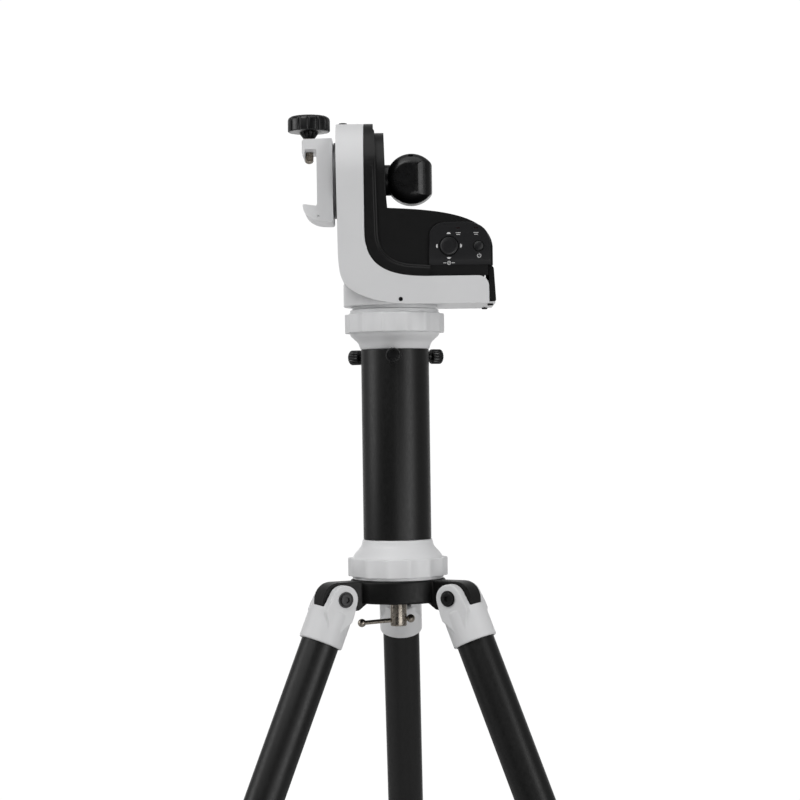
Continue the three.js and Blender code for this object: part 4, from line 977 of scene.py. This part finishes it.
def make_head():
    make_outer_shell()
    make_inner_cover()
    make_panel()
    make_controls()
    make_door()
    base = [(THREAD_BORE, 284.7), (42, 284.7, 0.5), (42, 289.7, 0.5), (18, 289.7), (18, 297.7),
            (12, 297.7), (12, 318, 0.8), (0, 318), (0, 299), (THREAD_BORE, 299)]
    base = revolve("azimuth_base", rounded(base, 0, 3) + [(THREAD_BORE, 284.7)], FINE)
    finish_piece(base, BASE, MAT["ring"], "white_casting", "azimuth_base")
    plug = [(0, -5), (3.3, -5), (3.3, 0.3), (4.2, 0.3), (4.2, 0.8), (3.6, 1.25), (0, 1.3)]
    plug = shift(turned("top_plug", plug, 0.15, SMALL), PLUG_X, 0, HEAD_TOP)
    finish_piece(plug, "head", MAT["rubber"], "rubber", "top_plug")
    for side, x, y in HEAD_FEET:
        foot = turned("head_foot", [(0, -1.8), (2.4, -1.8), (3, -1.2), (3, -GAP), (0, -GAP)], 0.3, SMALL)
        finish_piece(shift(foot, x, y, HEAD_BOTTOM), "head", MAT["rubber"], "rubber", f"head_foot_{side}")


# ---------------------------------------------------------------- altitude axis

def make_clutch_knob():
    """A round paddle on a neck, its two faces domed and tapering towards its outer end."""
    rim, face = 12.5, 22
    profile = [(0, -face, 0), (15, -face, 8), (KNOB_R - 4, 3 - face, 6), (KNOB_R, -rim, 2.5),
               (KNOB_R, rim, 2.5), (KNOB_R - 4, face - 3, 6), (15, face, 8), (0, face, 0)]
    disc = shift(along_y(turned("clutch_knob", profile, 0, FINE)), KNOB_X)
    half = [(-30, 17), (-19, 20.5), (3.4, 22), (6.5, 21.5), (9, 20.5), (11.5, 19.2), (14, 17.6),
            (16, 15.9), (18, 13.4), (19.7, 9.8), (20.7, 5)]
    outline = [(KNOB_X + x, side * y, *bend) for side, points in ((-1, half), (1, reversed(half)))
               for x, y, *bend in points]
    wedge = prism("wedge", rounded(outline, 0, 6), -40, 40, "z")
    knob = cast(join(common(disc, wedge), along_x(rod("core", 15, -3, 12, 0.5, FINE))), 0.5, 4)
    knob = join(knob, along_x(rod("neck", 15.4, -8.7, 5, 0.4, FINE)))
    bore = along_x(rod("bore", SHAFT_BORE, -9.5, 11.1, 0, ROUND))
    recess = spin(rod("recess", 2.6, 25.2, 40), KNOB_SCREW_LEAN, "X")
    knob = combine(knob, bore, shift(recess, KNOB_X - 0.5))
    shift(knob, z=ALT_Z)
    finish_piece(knob, "clutch_knob", MAT["knob"], "black_plastic", "clutch_knob")
    screw = rod("knob_set_screw", 2.3, 24.6, 26.2, 0.2)
    combine(screw, prism("socket", hexagon(1.3), 25.4, 27, "z"))
    shift(spin(screw, KNOB_SCREW_LEAN, "X"), KNOB_X - 0.5, 0, ALT_Z)
    finish_piece(screw, "clutch_knob", MAT["oxide"], "black_steel")


def make_saddle():
    outline = rounded([
        (-58.9, 371.2, 2), (-58.9, SADDLE_TOP, 2.5), (-87.4, SADDLE_TOP - 0.9, 1), (-89, 451, 1.4),
        (-89, 438, 0.8), (-88.2, 436.7, 0.5), (-86.8, 436.7, 0.6),
        (-86.3, 442.9, 1), (-75.7, 442.9, 0.4), (-74.7, 441.9, 0.4),
        (-74.7, 389.2, 0.8), (-75.6, 386.9, 0.6), (-88.2, 388.7, 0.5), (-89, 387.4, 1.2),
        (-88.2, 382.2, 5), (-84.2, 376.4, 6), (-77.5, 372.6, 6), (-70, 371.2, 3),
    ], 1, 6)
    saddle = prism("saddle_body", outline, -SADDLE_HALF, SADDLE_HALF)
    axle = on_altitude(rod("axle", SHAFT_BORE, -70.5, -55, 0, ROUND))
    screw = shift(rod("screw", SADDLE_SCREW_BORE, 430, 460, 0, ROUND), SADDLE_SCREW_X)
    boss_hole = along_y(turned("dimple", [(0, -31), (1.6, -31), (1.1, -28.6), (0, -28.2)], 0, SMALL))
    combine(saddle, axle, screw, shift(boss_hole, -74, 0, 376.6))
    finish_piece(soften(clean(saddle), 1.0, 4), "saddle", MAT["ring"], "white_casting", "saddle_body")

    points = [(0, 431.8), (1.6, 431.9), (3.2, 432.7), (3.9, 434)]
    z = 434.6
    while z < 469:
        points += [(4.5, z), (3.95, z + 0.62)]
        z += 1.25
    thread = revolve("saddle_screw", points + [(3.9, 469.6), (0, 469.9)], SMALL)
    finish_piece(shift(thread, SADDLE_SCREW_X), "saddle_screw", MAT["nickel"], "steel", "saddle_screw")

    bore, r = SADDLE_SCREW_BORE, SADDLE_KNOB_R
    profile = [(bore, 457.2), (5.6, 457.2), (6.2, 457.8, 0.8), (9.2, 461.8, 1.5), (9.5, 463, 1.5),
               (12.5, 463.4), (16.5, 463.6), (18.8, 463.6, 0.6), (20.4, 463.8, 1), (r, 464.6, 1),
               (r, 474.6, 1), (20.8, 476.3, 1), (19.9, 477.7, 0.9), (18, 478.9, 0.6), (14, 479.5),
               (9, 479.8), (0, 479.8), (0, 470.4), (bore, 470.4), (bore, 457.2)]
    knob = revolve("saddle_knob", profile, 336, scallops(14, 0.9, 0.3, math.radians(-89)))
    finish_piece(shift(knob, SADDLE_SCREW_X), "saddle_knob", MAT["knob"], "black_plastic", "saddle_knob")

    wall = [(SHAFT_BORE, -58.2), (37.9, -58.2), (37.9, -56.1), (SHAFT_BORE, -56.1)]
    disc = turned("altitude_hub_disc", wall, 0.4, FINE, closed=True)
    finish_piece(on_altitude(disc), "saddle", MAT["grey"], "grey_metal", "altitude_hub_disc")


# ---------------------------------------------------------------- hidden pieces and staging

def finish_hidden_pieces():
    """The works inside keep their CAD shapes."""
    looks = {
        "nickel": ("azimuth_bearing", "azimuth_worm", "altitude_worm", "altitude_bearing_outer",
                   "altitude_bearing_inner", "altitude_shaft", "pier_head_bolt", "pad_gimbal"),
        "zinc": ("azimuth_motor", "altitude_motor"),
        "brass": ("azimuth_worm_wheel", "altitude_worm_wheel"),
        "plastic": ("battery_holder",),
        "board": ("control_board",),
    }
    for material, names in looks.items():
        for name in names:
            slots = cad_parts[name].data.materials
            slots.clear()
            slots.append(MAT[material])


def make_floor():
    work = bmesh.new()
    bmesh.ops.create_circle(work, cap_ends=True, radius=1.45, segments=96)
    mesh = bpy.data.meshes.new("floor")
    work.to_mesh(mesh)
    work.free()
    floor = bpy.data.objects.new("floor", mesh)
    floor.location = (0, 0, -0.0005)
    bpy.context.scene.collection.objects.link(floor)
    finish = Finish("floor", (0.6, 0.6, 0.6), 0.6)
    finish.vary_color(60, 0.01)
    mesh.materials.append(finish.material)


def softbox(name, azimuth, elevation, distance, width, height, power):
    """An area light aimed at the head; azimuth 0 is the camera's side, positive to the right."""
    data = bpy.data.lights.new(name, "AREA")
    data.shape = "RECTANGLE"
    data.size = width
    data.size_y = height
    data.energy = power
    light = bpy.data.objects.new(name, data)
    bpy.context.scene.collection.objects.link(light)
    a, e = math.radians(azimuth), math.radians(elevation)
    away = Vector((math.sin(a) * math.cos(e), -math.cos(a) * math.cos(e), math.sin(e)))
    target = DATUM + Vector((0, 0, 0.2))
    light.location = target + away * distance
    light.rotation_euler = away.to_track_quat("Z", "Y").to_euler()


def light_scene():
    """A white backdrop behind a dim studio, with boxes to the left, the right, above and in front."""
    world = bpy.data.worlds.new("studio")
    bpy.context.scene.world = world
    world.use_nodes = True
    nodes, links = world.node_tree.nodes, world.node_tree.links
    background = nodes["Background"]
    geometry = nodes.new("ShaderNodeTexCoord")
    split = nodes.new("ShaderNodeSeparateXYZ")
    links.new(geometry.outputs["Generated"], split.inputs["Vector"])
    ramp = nodes.new("ShaderNodeValToRGB")
    stops = ((0.0, 0.03), (0.30, 0.03), (0.42, 0.14), (0.88, 0.28), (0.955, 1.03), (1.0, 1.03))
    while len(ramp.color_ramp.elements) < len(stops):
        ramp.color_ramp.elements.new(0.5)
    for element, (position, level) in zip(ramp.color_ramp.elements, stops):
        element.position = position
        element.color = (level, level, level, 1)
    share = nodes.new("ShaderNodeMapRange")
    share.inputs["From Min"].default_value = -1
    share.inputs["From Max"].default_value = 1
    links.new(split.outputs["Y"], share.inputs["Value"])
    links.new(share.outputs["Result"], ramp.inputs["Fac"])
    links.new(ramp.outputs["Color"], background.inputs["Color"])
    background.inputs["Strength"].default_value = 1
    softbox("left_box", -84, 12, 2.2, 1.0, 1.5, 12)
    softbox("right_box", 49, 5, 2.6, 0.9, 2.0, 17)
    softbox("top_box", 0, 72, 2.2, 2.4, 2.0, 17)
    softbox("front_box", -38, 42, 3.0, 2.2, 1.6, 27)
    softbox("low_box", 28, -16, 2.4, 2.0, 0.7, 10)
    bpy.context.scene.view_settings.view_transform = "Standard"


make_crown()
make_captive_bolt()
make_tommy_bar()
make_legs()
make_pier()
make_head()
make_clutch_knob()
make_saddle()
finish_hidden_pieces()
make_floor()
light_scene()
